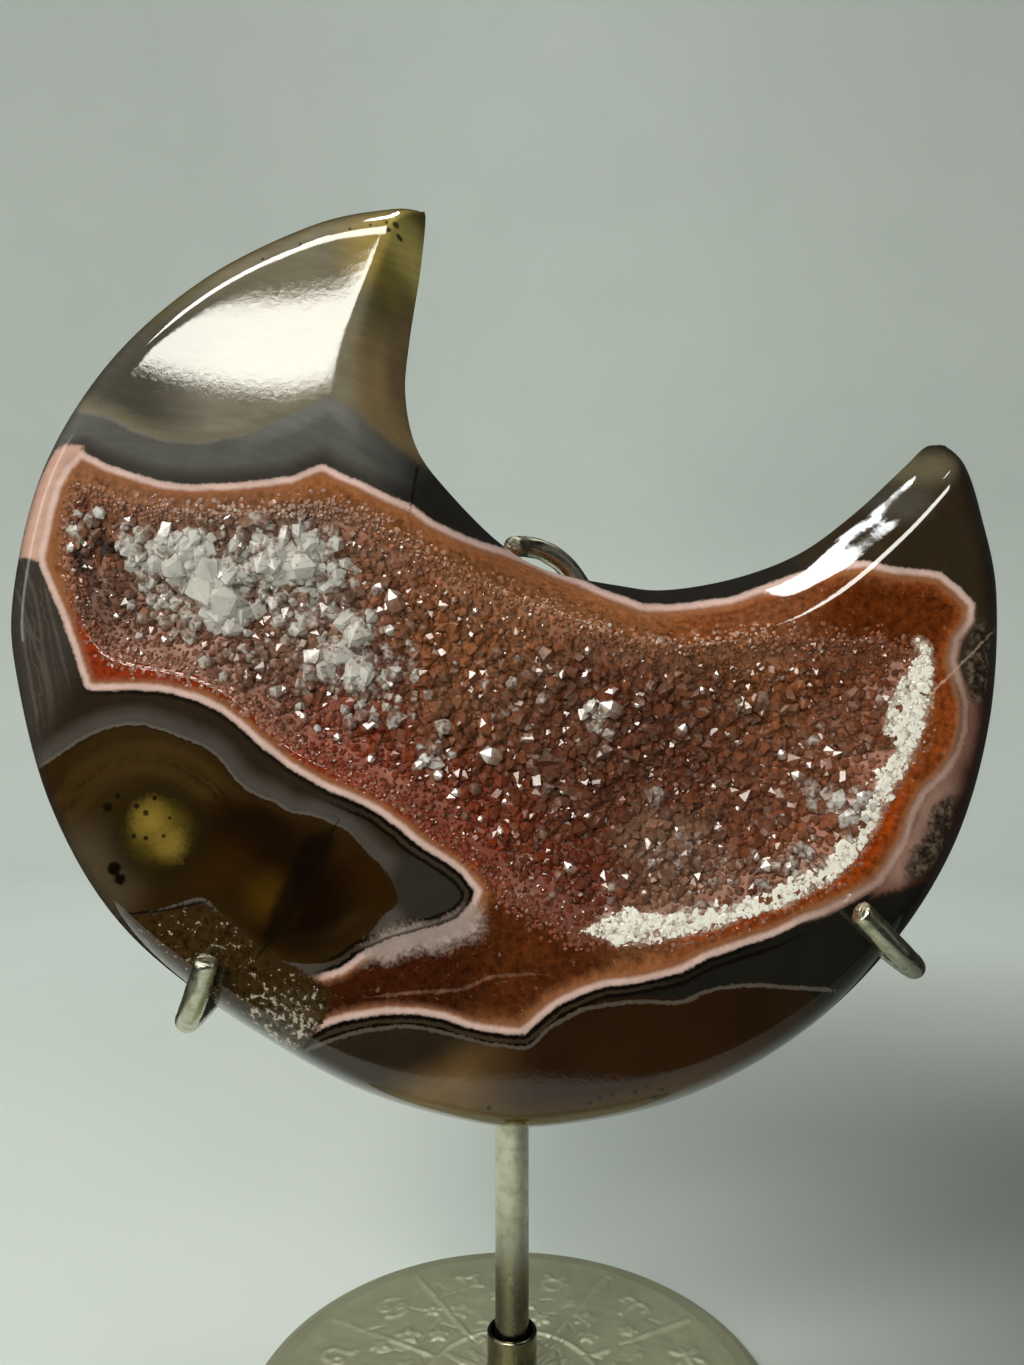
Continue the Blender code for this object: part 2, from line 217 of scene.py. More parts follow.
def seenAt(points):
    # Photograph pixels of points on the stone; behind the girdle the girdle's depth is kept
    depth = np.minimum(points[:, 1], moon["girdleY"]) - viewer["y"]
    across, down = viewer["middlePx"]
    scale = viewer["focalPx"] / depth
    return np.column_stack([across + points[:, 0] * scale, down - (points[:, 2] - viewer["z"]) * scale])


def onFace(marks):
    # x, z in mm on the polished face of marks given in photograph pixels
    marks, (across, down) = np.array(marks, float), viewer["middlePx"]
    return np.column_stack([(marks[:, 0] - across) * pixel, viewer["z"] - (marks[:, 1] - down) * pixel])


def softNoise(points, size, seed=0, octaves=3):
    # Smooth random value of about -1 to 1 at each point, with features of the size in mm
    chance = np.random.default_rng(900 + seed)
    total, weight = np.zeros(len(points)), 0.0
    for octave in range(octaves):
        scale, strength = size / 2**octave, 0.55**octave
        for _ in range(6):
            way = chance.normal(size=points.shape[1])
            way *= 2 * math.pi / (np.linalg.norm(way) * scale * chance.uniform(1.4, 2.6))
            total += strength * np.sin(points @ way + chance.uniform(0, 6.283))
            weight += strength
    return total / weight * 1.9


def meshObject(name, points, faces, material, smooth=True, normals=True, weldMm=0.0):
    mesh = bpy.data.meshes.new(name)
    mesh.from_pydata((np.asarray(points) * mm).tolist(), [], faces)
    if normals:
        bm = bmesh.new()
        bm.from_mesh(mesh)
        if weldMm:
            bmesh.ops.remove_doubles(bm, verts=bm.verts, dist=weldMm * mm)
        bmesh.ops.recalc_face_normals(bm, faces=bm.faces)
        bm.to_mesh(mesh)
        bm.free()
    mesh.polygons.foreach_set("use_smooth", np.full(len(mesh.polygons), smooth))
    mesh.materials.append(material)
    obj = bpy.data.objects.new(name, mesh)
    bpy.context.scene.collection.objects.link(obj)
    return obj


def meshPoints(obj):
    flat = np.empty(len(obj.data.vertices) * 3, np.float32)
    obj.data.vertices.foreach_get("co", flat)
    return flat.reshape(-1, 3).astype(float) / mm


def setAttribute(obj, name, values):
    layer = obj.data.attributes.new(name, "FLOAT", "POINT")
    layer.data.foreach_set("value", np.asarray(values, np.float32))


def gridFaces(index, closed=False):
    if closed:
        index = np.column_stack([index, index[:, 0]])
    a, b, c, d = index[:-1, :-1], index[:-1, 1:], index[1:, 1:], index[1:, :-1]
    return np.stack([a, b, c, d], axis=-1).reshape(-1, 4).tolist()


def ringPoints(radius, z, angles):
    return np.column_stack([radius * np.cos(angles), radius * np.sin(angles), np.full(len(angles), z)])


def turnAngles(count):
    return np.linspace(0, 2 * math.pi, count, endpoint=False)


def atDepth(flat, y):
    return np.column_stack([flat[:, 0], y, flat[:, 1]])


# The stone's shape, in mm. Both edges run from the upper tip to the right tip
moon = dict(
    outerEdge=[
        (-11.8, 172.8), (-16.3, 173.0), (-26.8, 170.8), (-41.5, 163.5), (-54.2, 152.3), (-63.2, 137.6),
        (-67.2, 120.8), (-66.6, 109.2), (-62.2, 92.6), (-53.8, 77.8), (-41.3, 66.6), (-22.6, 55.2), (-6.5, 50.1),
        (4.9, 49.3), (21.8, 52.7), (37.2, 60.6), (50.0, 72.3), (59.4, 86.9), (64.3, 103.5), (65.3, 120.7),
        (63.1, 132.1), (61.1, 138.2), (58.9, 140.9), (57.5, 141.3),
    ],
    innerEdge=[
        (-11.8, 172.8), (-11.7, 171.2), (-12.4, 164.6), (-13.9, 154.9), (-14.4, 147.9), (-12.9, 140.9),
        (-8.8, 135.2), (-1.6, 128.0), (4.9, 124.3), (14.4, 122.3), (20.9, 121.7), (30.2, 123.3), (38.8, 126.6),
        (46.1, 131.9), (52.8, 138.1), (55.7, 140.9), (57.5, 141.3),
    ],
    stations=400,
    girdleY=-13.5,
    crown=9.3,  # ridge over the girdle plane
    dome=0.7,  # the lap leaves the face very slightly domed about its middle
    domeMiddle=(0, 105), domeReach=85,
    outerBevel=5.8,  # width of the ground edge
    # The bite's ground edge narrows towards both tips: width by angle round the bite's middle
    biteMiddle=(22, 160),
    innerBevel=[
        (150, 2.3), (172, 2.9), (185, 4.8), (197, 6.3), (259, 6.8), (283, 7.6), (292, 6.9), (299, 5.9), (311, 5.2),
        (325, 4.3), (335, 3.6),
    ],
    ridgeSharpness=0.42,
    ridgeRound=0.08,  # share of the bevel that the polisher's wheel rounds off at the ridge
    facetInsets=[0.02, 0.06, 0.12, 0.19, 0.28, 0.38, 0.5, 0.62, 0.73, 0.82, 0.89, 0.94, 0.98, 1.02, 1.06, 1.11,
                 1.18],  # rows of points over the bevel, as shares of its width
    faceRows=50, backRows=14,
    weld=0.02,  # mm; the stations at both tips close to a point
    waviness=0.035,  # a hand-lapped face isn't optically flat
)
# Where the crystals start on the face, in photograph pixels, from the hollow's left end clockwise
hollow = dict(
    topPx=[
        (64, 545), (66, 520), (80, 490), (110, 500), (150, 508), (200, 512), (260, 512), (310, 505), (345, 510),
        (385, 530), (430, 555), (480, 580), (530, 600), (580, 622), (630, 640), (680, 645), (730, 640), (790, 638),
        (840, 640), (880, 640), (912, 655),
    ],
    bottomPx=[
        (64, 545), (73, 590), (85, 625), (103, 650), (135, 662), (170, 668), (200, 677), (228, 692), (255, 716),
        (290, 746), (330, 768), (370, 788), (400, 806), (430, 830), (455, 848), (478, 866), (496, 888), (520, 908),
        (550, 924), (580, 938), (615, 944), (652, 940), (690, 932), (725, 922), (760, 910), (795, 897), (825, 882),
        (847, 862), (865, 842), (880, 810), (897, 777), (912, 750), (922, 720), (930, 685), (926, 655), (912, 655),
    ],
    # The crust starts to fall away along the lower edge's first marks, then along a shelf of cut crystals that
    # lies in the face
    shelfFrom=17,
    shelfPx=[
        (540, 895), (570, 905), (597, 920), (625, 907), (655, 915), (690, 910), (725, 907), (750, 897), (775, 890),
        (790, 882), (815, 867), (830, 855), (847, 835), (860, 817), (872, 797), (880, 772), (897, 750), (886, 735),
        (890, 700), (902, 680), (912, 655),
    ],
    lip=0.2,
    depth=7.0,
    steepness=3.2,
)


def innerBevel(points):
    across, up = (points - moon["biteMiddle"]).T
    angle, table = np.degrees(np.arctan2(up, across)) % 360, np.array(moon["innerBevel"]).T
    return np.mean([np.interp(angle + turn, *table) for turn in range(-8, 9, 2)], axis=0)


def faceRows(edgeA, edgeB, outline, insets, between):
    # Points from edge to edge at each station: rows at set shares of the bevel, then even ones
    middle = (edgeA + edgeB) / 2
    share = np.linspace(0, 1, 70) ** 1.6
    halves = []
    for start, widths in ((edgeA, np.full(len(edgeA), moon["outerBevel"])), (edgeB, innerBevel(edgeB))):
        line = start[:, None] + (middle - start)[:, None] * share[None, :, None]
        reach = pathDistance(line.reshape(-1, 2), outline).reshape(len(start), -1)
        reach = np.maximum.accumulate(reach, axis=1) + 1e-6 * share
        rows = []
        for i, near in enumerate(reach):
            own = np.array(insets) * widths[i]
            at = np.interp(own * min(1.0, 0.93 * near[-1] / own[-1]), near, share)
            at = np.concatenate([[0], at, np.linspace(at[-1], 1, between + 2)[1:-1]])
            rows.append(start[i] + (middle[i] - start[i]) * at[:, None])
        halves.append(np.array(rows))
    return np.concatenate([halves[0], middle[:, None], halves[1][:, ::-1]], axis=1)


def crownHeight(points):
    # Height of the face over the girdle plane: a convex bevel, a soft ridge, then the domed flat
    soft, sharp = moon["ridgeRound"], moon["ridgeSharpness"]
    outer = pathDistance(points, outerEdge[::2], closed=False) / moon["outerBevel"]
    inner = pathDistance(points, innerEdge[::2], closed=False) / innerBevel(points)
    t = np.exp(-outer / soft) + np.exp(-inner / soft) + math.exp(-1 / soft)
    t = np.clip(-soft * np.log(t), 0, 1)
    curve = (1 - sharp) * (1 - (1 - t) ** 2) + sharp * t
    middle = np.hypot(*(points - moon["domeMiddle"]).T) / moon["domeReach"]
    return curve * (moon["crown"] + moon["dome"] * (1 - middle**2))


outerEdge = smoothPath(moon["outerEdge"], moon["stations"], crowd=0.4)
innerEdge = smoothPath(moon["innerEdge"], moon["stations"], crowd=0.4)
moonOutline = np.vstack([outerEdge, innerEdge[-2:0:-1]])
coarseOutline = moonOutline[::2]
hollowTop, hollowBottom = (smoothPath(onFace(hollow[key]), 150) for key in ("topPx", "bottomPx"))
hollowShelf = smoothPath(onFace(hollow["bottomPx"][:hollow["shelfFrom"]] + hollow["shelfPx"]), 150)
hollowOutline = np.vstack([hollowTop, hollowBottom[-2:0:-1]])
shelfOutline = np.vstack([hollowTop, hollowShelf[-2:0:-1]])


def faceDepth(points):
    # y of the polished front face over points x, z
    wave = moon["waviness"] * softNoise(points, 30, seed=1, octaves=1)
    return moon["girdleY"] - crownHeight(points) * (1 + wave / moon["crown"])


def hollowFloor(inward):
    # How far the hollow's wall lies under the face, by distance in from the hollow's edge
    bowl = (hollow["depth"] - hollow["lip"]) * (1 - np.exp(-np.maximum(inward, 0) / hollow["steepness"]))
    return np.where(inward > 0, hollow["lip"] * smoothStep(inward, 0, 1.0) + bowl, 0.0)


# Marks in the stone, in photograph pixels. The cavity line is the pink line round the quartz
cavityPx = [
    (81, 454), (105, 466), (130, 475), (160, 484), (190, 487), (230, 486), (267, 482), (292, 479), (307, 472),
    (322, 466), (337, 475), (362, 485), (387, 497), (410, 507), (430, 522), (455, 534), (480, 544), (505, 551),
    (530, 561), (555, 572), (580, 581), (600, 591), (617, 597), (642, 606), (667, 607), (692, 605), (730, 600),
    (763, 588), (800, 575), (835, 566), (865, 563), (890, 569), (915, 571), (940, 575), (957, 588), (972, 605),
    (970, 622), (958, 640), (953, 662), (960, 683), (966, 705), (965, 728), (958, 752), (947, 772), (925, 793),
    (914, 813), (905, 842), (895, 858), (880, 882), (852, 898), (826, 911), (799, 921), (773, 934), (739, 945),
    (706, 956), (680, 970), (642, 980), (605, 984), (580, 992), (555, 1004), (535, 1021), (524, 1033), (505, 1031),
    (485, 1029), (465, 1024), (442, 1016), (417, 1012), (395, 1011), (370, 1013), (345, 1018), (325, 1024),
    (310, 1033), (300, 1045), (290, 1085), (190, 1040), (95, 950), (128, 919), (169, 912), (201, 904), (216, 915),
    (240, 929), (254, 944), (263, 955), (275, 963), (295, 973), (316, 978), (342, 970), (362, 955), (385, 945),
    (407, 938), (436, 930), (459, 922), (472, 908), (478, 891), (463, 872), (445, 859), (421, 844), (401, 827),
    (377, 809), (351, 797), (319, 783), (289, 765), (263, 745), (245, 728), (222, 710), (198, 698), (163, 689),
    (128, 687), (88, 688), (78, 658), (67, 625), (54, 593), (43, 569), (41, 558), (45, 538), (50, 512), (57, 488),
    (68, 467),
]
islandPx = [
    (30, 775), (55, 758), (72, 746), (93, 734), (116, 727), (140, 725), (163, 731), (187, 740), (207, 749),
    (222, 762), (236, 780), (251, 793), (275, 803), (292, 813), (313, 816), (333, 824), (351, 835), (368, 853),
    (386, 871), (395, 888), (398, 904), (386, 912), (371, 932), (357, 950), (333, 961), (310, 964), (286, 961),
    (266, 954), (245, 935), (216, 909), (204, 897), (181, 903), (151, 912), (128, 915), (60, 900), (20, 830),
]
# Other bands and markings that the shader below names
marks = dict(
    horn=[
        (40, 420), (82, 408), (98, 412), (122, 426), (150, 437), (190, 444), (240, 436), (290, 415), (333, 394),
        (341, 400), (360, 418), (385, 440), (425, 470), (470, 500), (520, 450), (460, 100), (40, 100),
    ],
    leftPink=[
        (84, 447), (58, 449), (30, 500), (8, 552), (30, 558), (42, 561), (46, 538), (52, 512), (60, 488),
        (74, 462),
    ],
    fuzzyPink=[
        (360, 962), (372, 944), (400, 930), (436, 924), (462, 915), (476, 905), (486, 925), (470, 940), (430, 948),
        (395, 955),
    ],
    rightPink=[
        (962, 690), (1010, 680), (1010, 870), (935, 882), (890, 892), (866, 900), (880, 882), (905, 842),
        (925, 793), (958, 752), (966, 705),
    ],
    moss=[
        [(974, 626), (984, 618), (992, 640), (990, 690), (978, 706), (966, 690), (964, 655)],
        [(948, 793), (955, 800), (948, 838), (930, 872), (914, 880), (906, 868), (920, 840), (934, 808)],
    ],
    black=[
        (596, 992), (642, 980), (706, 956), (773, 934), (826, 911), (870, 890), (905, 872), (935, 884), (975, 900),
        (900, 1060), (812, 996), (760, 986), (706, 991), (682, 1000), (642, 997), (605, 1000),
    ],
    whiteBand=[
        (916, 640), (918, 655), (902, 680), (890, 700), (886, 735), (897, 750), (880, 772), (872, 797), (860, 817),
        (847, 835), (830, 855), (815, 867), (790, 882), (775, 890), (750, 897), (725, 907), (690, 910), (655, 915),
        (625, 907), (597, 920), (584, 930), (620, 942), (652, 940), (690, 932), (725, 923), (760, 911), (795, 898),
        (825, 883), (847, 864), (865, 844), (880, 812), (897, 779), (912, 752), (924, 722), (931, 685), (928, 648),
    ],
    grainy=[
        (128, 917), (169, 912), (201, 904), (216, 915), (240, 929), (254, 944), (263, 955), (290, 972), (318, 982),
        (330, 1000), (318, 1025), (300, 1045), (280, 1070), (190, 1030), (100, 950),
    ],
    darkGap=[
        (318, 832), (334, 834), (325, 862), (310, 892), (285, 925), (262, 948), (275, 905), (292, 870), (300, 845),
    ],
    lines=dict(
        bottomLine=[
            [(300, 1052), (334, 1040), (360, 1032), (387, 1028), (414, 1027), (441, 1032), (467, 1039),
             (494, 1045), (521, 1048), (530, 1047), (548, 1030), (575, 1013), (602, 1005), (642, 1001),
             (682, 1003), (706, 991), (749, 986), (799, 988), (830, 990)],
        ],
        lensLine=[
            [(17, 590), (30, 630), (40, 660), (48, 700), (52, 770)],
            [(26, 570), (36, 600), (42, 640), (50, 690), (56, 740)],
            [(22, 620), (27, 660), (34, 700), (40, 740)],
            [(45, 590), (58, 640), (70, 690)],
        ],
        crack=[
            [(333, 830), (322, 862), (305, 893), (285, 925), (262, 950)],
            [(418, 470), (414, 485), (411, 502)],
            [(128, 914), (169, 909), (201, 902)],
        ],
        scratch=[[(992, 632), (975, 650), (950, 675), (930, 695)]],
        quartzLine=[[(380, 995), (455, 990), (492, 977), (530, 974)]],
        islandArc=[
            [(60, 800), (85, 768), (130, 748), (175, 752), (215, 775), (245, 806)],
            [(75, 815), (98, 785), (135, 768), (170, 772), (205, 795)],
            [(300, 935), (335, 930), (365, 905), (378, 885)],
        ],
    ),
)


def buildStone(material):
    insets = moon["facetInsets"]
    front = faceRows(outerEdge, innerEdge, coarseOutline, insets, moon["faceRows"])
    back = faceRows(outerEdge, innerEdge, coarseOutline, insets[::3], moon["backRows"])
    frontFlat, backFlat = front.reshape(-1, 2), back[:, 1:-1].reshape(-1, 2)
    frontY = faceDepth(frontFlat) + hollowFloor(signedDistance(frontFlat, hollowOutline))
    points = np.vstack([atDepth(frontFlat, frontY), atDepth(backFlat, moon["girdleY"] + crownHeight(backFlat))])
    frontIndex = np.arange(len(frontFlat)).reshape(front.shape[:2])
    backIndex = len(frontFlat) + np.arange(len(backFlat)).reshape(back.shape[0], -1)
    backIndex = np.column_stack([frontIndex[:, 0], backIndex, frontIndex[:, -1]])
    faces = gridFaces(frontIndex) + gridFaces(backIndex[:, ::-1])
    stone = meshObject("polished_moon", points, faces, material, weldMm=moon["weld"])
    paintMarks(stone)
    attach(stone, "root")
    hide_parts("moon_stone")
    return stone


def paintMarks(obj):
    # Each marking's distance in mm from every point: the shader turns them into bands and lines
    points = meshPoints(obj)
    seen = seenAt(points)

    def closed(outline):
        return signedDistance(seen, smoothPath(outline + outline[:1], 3 * len(outline))[:-1]) * pixel

    setAttribute(obj, "rim", pathDistance(points[:, [0, 2]], coarseOutline))
    setAttribute(obj, "cavity", signedDistance(seen, np.array(cavityPx, float)) * pixel)
    setAttribute(obj, "island", closed(islandPx))
    for name in ("horn", "leftPink", "fuzzyPink", "rightPink", "black", "whiteBand", "grainy", "darkGap"):
        setAttribute(obj, name, closed(marks[name]))
    setAttribute(obj, "moss", np.maximum(*[closed(outline) for outline in marks["moss"]]))
    for name, paths in marks["lines"].items():
        sides, gaps = zip(*[sideOf(seen, smoothPath(path, 3 * len(path))) for path in paths])
        nearest = np.argmin(gaps, axis=0)
        setAttribute(obj, name, np.choose(nearest, sides) * pixel)
        setAttribute(obj, name + "Gap", np.choose(nearest, gaps) * pixel)


# Bands and markings from the first laid to the last, with a few patches of painted highlight, glare, sheen, light
# and glow on the horns: name, colour, strength, how much it wobbles in mm, then what bounds it, multiplied together.
# A spot is x, y and the radii where it starts and is full, in photograph pixels; an outline goes with the distances
# in from it, in mm, where it starts and is full; a thin mark goes with its half width and its softness in mm
offMatrix = (200, 950, 110, 138)  # everywhere but on the crumbly matrix at the lower left
agateLayers = [
    ("brown agate below", "#201105", 1, 0.35, (540, 1080, 460, 200)),
    ("brown paler left", "#7d6039", 0.95, 0.35, (335, 1075, 220, 60)),
    ("brown lit from below", "#2f1c09", 0.7, 0.35, (640, 1065, 190, 20)),
    ("bottom edge", "#64491f", 0.8, 0.35, ("rim", 8.5, 2.5), (470, 1120, 400, 170)),
    ("horn chalcedony", "#746d5b", 1, 0.35, ("horn", -0.2, 0.2)),
    ("horn grey", "#47433b", 1, 0.35, ("horn", -0.2, 3), (150, 420, 200, 60)),
    ("horn under tip", "#9c864b", 1, 0.35, (385, 245, 66, 10), ("horn", 0, 1)),
    # painted highlight: a soft, lighter grey fringe under the horn's reflected highlight
    ("painted soft edge under the horn highlight", "#8b8474", 0.6, 0.35, ("horn", 0.2, 1.8), (260, 408, 120, 40)),
    ("grey band", "#595854", 1, 0.35, ("horn", 0.2, -0.2), (250, 440, 260, 200)),
    ("band near pink", "#3a3732", 1, 0.35, ("cavity", -3.2, -0.7), (250, 440, 260, 200)),
    ("grey haze", "#7c7b77", 0.55, 0.35, ("horn", 0.1, -0.3), ("horn", -2.8, -0.9), (320, 420, 110, 30)),
    ("pale horn line", "#76736c", 0.6, 0.35, ("horn", -0.35, -0.1), ("horn", 0.3, 0.1), (220, 430, 200, 120)),
    ("concave edge", "#24211c", 1, 0.35, (600, 560, 250, 190), ("cavity", 0.1, -0.4)),
    ("right horn", "#31271a", 1, 0.35, (930, 520, 130, 100), ("cavity", 0.1, -0.4)),
    # painted reflection: a grey glare between the two reflected streaks on the right horn
    ("painted glare between the right horn's streaks", "#4b4740", 0.7, 0.35, (912, 498, 34, 8)),
    # painted sheen: a lighter spot for the soft reflection at the right horn's tip
    ("painted sheen at the tip of the right horn", "#5b5340", 1, 0.35, (938, 458, 36, 8)),
    ("left lens", "#3c3630", 1, 0.35, (10, 660, 120, 95), ("island", 0.2, -0.6)),
    ("lens line", "#6a625b", 0.35, 0.25, ("lensLine", 0.05, 0.3)),
    ("rind", "#2a2016", 1, 0.35, ("cavity", 0.1, -0.3), (290, 840, 300, 250), ("island", 0.3, -0.1)),
    ("rind pale side", "#4a443e", 1, 0.35, ("island", -3.2, -0.7), ("island", 0.25, -0.1),
     (290, 840, 330, 260)),
    ("rind right end", "#302b26", 1, 0.35, ("cavity", 0.1, -0.3), ("island", 0.3, -0.1), (428, 886, 48, 28)),
    ("rind edge", "#66605b", 0.65, 0.2, ("island", -0.5, -0.2), ("island", 0.15, 0), (170, 740, 260, 120)),
    ("island", "#2b1b06", 1, 0.35, ("island", -0.1, 0.1)),
    ("island top", "#31230d", 1, 0.35, ("island", 0, 0.6), (140, 750, 110, 20)),
    ("island arcs", "#463415", 0.4, 0.35, ("islandArc", 0.3, 1.1)),
    ("island olive", "#2a1601", 1, 0.35, ("island", 0, 0.6), (365, 878, 48, 15)),
    ("island grey edge", "#483b2a", 1, 0.35, ("island", 0, 0.4), (85, 880, 80, 25)),
    ("island dark", "#150800", 1, 0.35, ("island", 0.3, 1.5), (300, 900, 80, 25)),
    ("island right of halo", "#1a0c01", 1, 0.35, ("island", 0.3, 1.8), (255, 842, 75, 25)),
    ("amber left", "#2e1a02", 1, 0.35, ("island", 0.1, 0.8), (225, 868, 48, 4)),
    ("amber glow", "#412b04", 1, 0.35, ("island", 0.1, 0.8), (268, 898, 42, 2)),
    ("dark gap", "#0d0500", 0.85, 0.35, ("darkGap", -0.9, 0.6)),
    ("spot halo", "#1f1704", 0.85, 0.35, (158, 834, 66, 26)),
    ("spot glow", "#594a18", 0.9, 0.8, (160, 832, 42, 12)),
    ("spot upper lobe", "#806a2a", 1, 0.9, (150, 820, 28, 2)),
    ("spot lower lobe", "#786428", 1, 0.9, (170, 844, 24, 2)),
    ("dark dot", "#0e0500", 1, 0.35, (114, 869, 9, 4)),
    ("dark dot end", "#0e0500", 1, 0.35, (120, 879, 8, 3)),
    ("black right", "#1b1914", 1, 0.35, ("black", -0.4, 0.4)),
    ("line by the pink", "#0c0703", 0.9, 0.35, (500, 1010, 300, 240), ("cavity", -0.4, -0.55),
     ("cavity", -1, -0.8), offMatrix),
    ("brown between lines", "#3a2e23", 0.8, 0.35, (450, 1020, 250, 180), ("cavity", -0.85, -1.05),
     ("cavity", -1.5, -1.3), offMatrix),
    ("black between lines", "#0c0602", 0.9, 0.35, (520, 1020, 330, 250), ("cavity", -1.35, -1.55),
     ("cavity", -2, -1.8), offMatrix),
    ("pale bottom line", "#5a5148", 0.85, 0.35, ("bottomLine", 0.14, 0.2)),
    ("right pink", "#3f251c", 1, 0.35, ("rightPink", -0.5, 0.5)),
    ("right edge brown", "#27120b", 0.85, 0.35, ("rightPink", -0.4, 1), ("rim", 4.5, 1.5)),
    ("pink by moss", "#7d5a4e", 0.8, 0.8, ("rightPink", -0.3, 0.6), ("cavity", -2.8, -0.6)),
    ("pink broad", "#9a786b", 0.8, 0.8, ("cavity", -4, -1.5), ("rightPink", -0.3, 0.6), (925, 835, 80, 40)),
    ("moss", "#382e25", 0.95, 1.6, ("moss", -0.5, 0.7)),
    ("left pink", "#bd9787", 1, 0.35, ("leftPink", -0.3, 0.3)),
    ("quartz", "#8a5531", 1, 0.35, ("cavity", -0.15, 0.25)),
    ("quartz inner", "#6b4327", 1, 0.35, ("cavity", 1, 3.4)),
    ("quartz top left", "#7b5138", 1, 0.35, ("cavity", 0.6, 1.6), (170, 500, 160, 60)),
    ("quartz red", "#74280c", 1, 0.35, ("cavity", 0.6, 1.6), (250, 800, 300, 170)),
    ("quartz deep red", "#70280f", 1, 0.35, ("cavity", 0.9, 2), (330, 760, 160, 60)),
    ("quartz red left", "#7a2a11", 1, 0.35, ("cavity", 0.4, 1.4), (120, 650, 90, 30)),
    ("quartz brown low", "#4a220b", 1, 0.35, ("cavity", 0.8, 2.6), (530, 955, 120, 50)),
    ("quartz low left", "#351505", 1, 0.35, ("cavity", 0.3, 1.2), (390, 985, 130, 60)),
    ("quartz orange right", "#7f3d18", 1, 0.35, ("cavity", 0.9, 1.6), (860, 790, 280, 190)),
    ("quartz red right", "#90390c", 1, 0.35, ("cavity", 1.7, 2.6), (820, 900, 170, 90)),
    ("quartz below streak", "#6d3f24", 1, 0.35, ("cavity", 0.8, 2.2), (800, 585, 130, 60)),
    ("quartz top right", "#572609", 1, 0.35, ("cavity", 1.2, 3), (890, 610, 100, 50)),
    ("quartz line", "#94705c", 0.28, 0.35, ("quartzLine", 0.1, 0.25)),
    ("pale behind cut crystal", "#b9a593", 1, 0.9, ("whiteBand", -0.9, 0.4)),
    ("pink glow", "#98694f", 0.5, 0.35, ("cavity", -0.2, 0.1), ("cavity", 1.7, 0.4), offMatrix),
    ("pink line", "#d0b0a8", 1, 0.2, ("cavity", -0.5, -0.1), ("cavity", 0.8, 0.15), offMatrix),
    ("pink wide right", "#8c6a5d", 0.8, 0.2, ("cavity", -0.8, -0.4), ("cavity", 1, 0.5),
     (935, 790, 200, 150)),
    ("pink dim right", "#684435", 0.8, 0.3, ("cavity", -0.8, -0.4), ("cavity", 1, 0.5), (966, 722, 55, 25)),
    ("rough pink side", "#d0b3a5", 0.25, 0.5, ("cavity", -0.5, -0.1), ("cavity", 0.6, 0.1),
     offMatrix),
    ("fuzzy pink", "#97857d", 1, 1.6, ("fuzzyPink", -1.3, 1.1)),
    ("grainy matrix", "#31210a", 1, 1.3, ("grainy", -0.9, -0.1)),
    ("grainy grey", "#4b4034", 0.6, 0.8, ("grainy", -0.2, 0.6), (288, 1030, 50, 10)),
    ("dark line outside pink", "#0d0704", 0.75, 0.35, ("cavity", -0.42, -0.55), ("cavity", -1, -0.7),
     offMatrix, (330, 870, 330, 270)),
    ("crack", "#120a05", 0.85, 0.35, ("crack", 0.06, 0.22)),
    ("scratch", "#c0a594", 0.55, 0.35, ("scratch", 0.06, 0.15)),
    ("amber rim", "#6c5d22", 0.9, 0.35, ("rim", 6.2, 1), (330, 230, 260, 170), ("horn", 0, 1.5)),
    ("amber tip", "#a1914c", 0.9, 0.35, ("rim", 4.6, 1.6), (405, 245, 70, 30)),
    # painted light: the horn's inner bevel and rim are made much paler than the stone to stand in for light they
    # don't get
    ("painted light on the horn's inner bevel", "#cfae7e", 0.9, 0.35, ("horn", -1, 1), (424, 372, 92, 30), ("rim", 7.2, 5.2)),
    ("painted light on the horn's inner rim", "#97805c", 1, 0.35, (414, 350, 100, 40), ("rim", 3, 0.8)),
    # painted glow: light shining through the thin translucent tip, put in as a bright colour
    ("painted glow through the thin tip", "#f4dd84", 1, 0.35, (420, 238, 46, 10), ("rim", 4.4, 2.6)),
]
# Small dark inclusions: centre and radius in photograph pixels
inclusionsPx = [
    (137, 806, 2.4), (146, 813, 2.6), (134, 836, 2.2), (146, 838, 2.3), (164, 836, 1.8), (170, 818, 1.6),
    (108, 807, 4.5), (118, 796, 2.5), (155, 798, 1.6), (395, 222, 2.6), (388, 229, 2.2), (398, 231, 2.2),
    (386, 221, 1.8), (370, 224, 1.6), (350, 228, 1.4), (300, 243, 1.5), (262, 258, 1.4), (600, 1098, 2.4),
    (612, 1093, 2.0), (621, 1088, 2.6), (635, 1092, 2.0), (646, 1085, 1.8), (655, 1099, 3.0), (662, 1090, 1.8),
    (590, 1103, 1.6), (628, 1080, 1.5), (489, 1108, 2.2), (419, 300, 1.5), (412, 262, 1.4),
]


def layerMask(tree, flat, wobbles, mask, wobble, bounds):
    for kind, *limits in bounds:
        thin = kind in marks["lines"]
        if len(limits) == 3:
            value, start, full = spotMask(tree, flat, kind, *limits)
        else:
            value, (start, full) = readAttribute(tree, kind), limits
        value = addMath(tree, "MULTIPLY_ADD", wobbles, wobble, value)
        if thin:
            value, start, full = addMath(tree, "ABSOLUTE", value), start + full, start
        mask = times(tree, rampBetween(tree, value, start, full), mask)
        if thin:  # the mark ends where its path does
            mask = times(tree, rampBetween(tree, readAttribute(tree, kind + "Gap"), 2.5, 1.8), mask)
    return mask


agate = dict(
    ground="#3a3024", inclusion="#0b0603",
    wobble=1.6,  # mm by which the bands' edges wander
    growthBands=(("cavity", 0.25, 1.3, 3.0), ("island", 0.3, 0.9, 2.0)),  # and wobble, bands to the mm, detail
    bandTones=(0.93, 1.07),
    cloudTones=(0.9, 1.1),
    sugarTones=(0.58, 1.55),  # darkest and palest grain of the quartz
    crumbSize=0.95, crumbWeight=0.22,
    matrixPatch=(285, 1028, 60, 20),  # where the matrix crumbles most
)


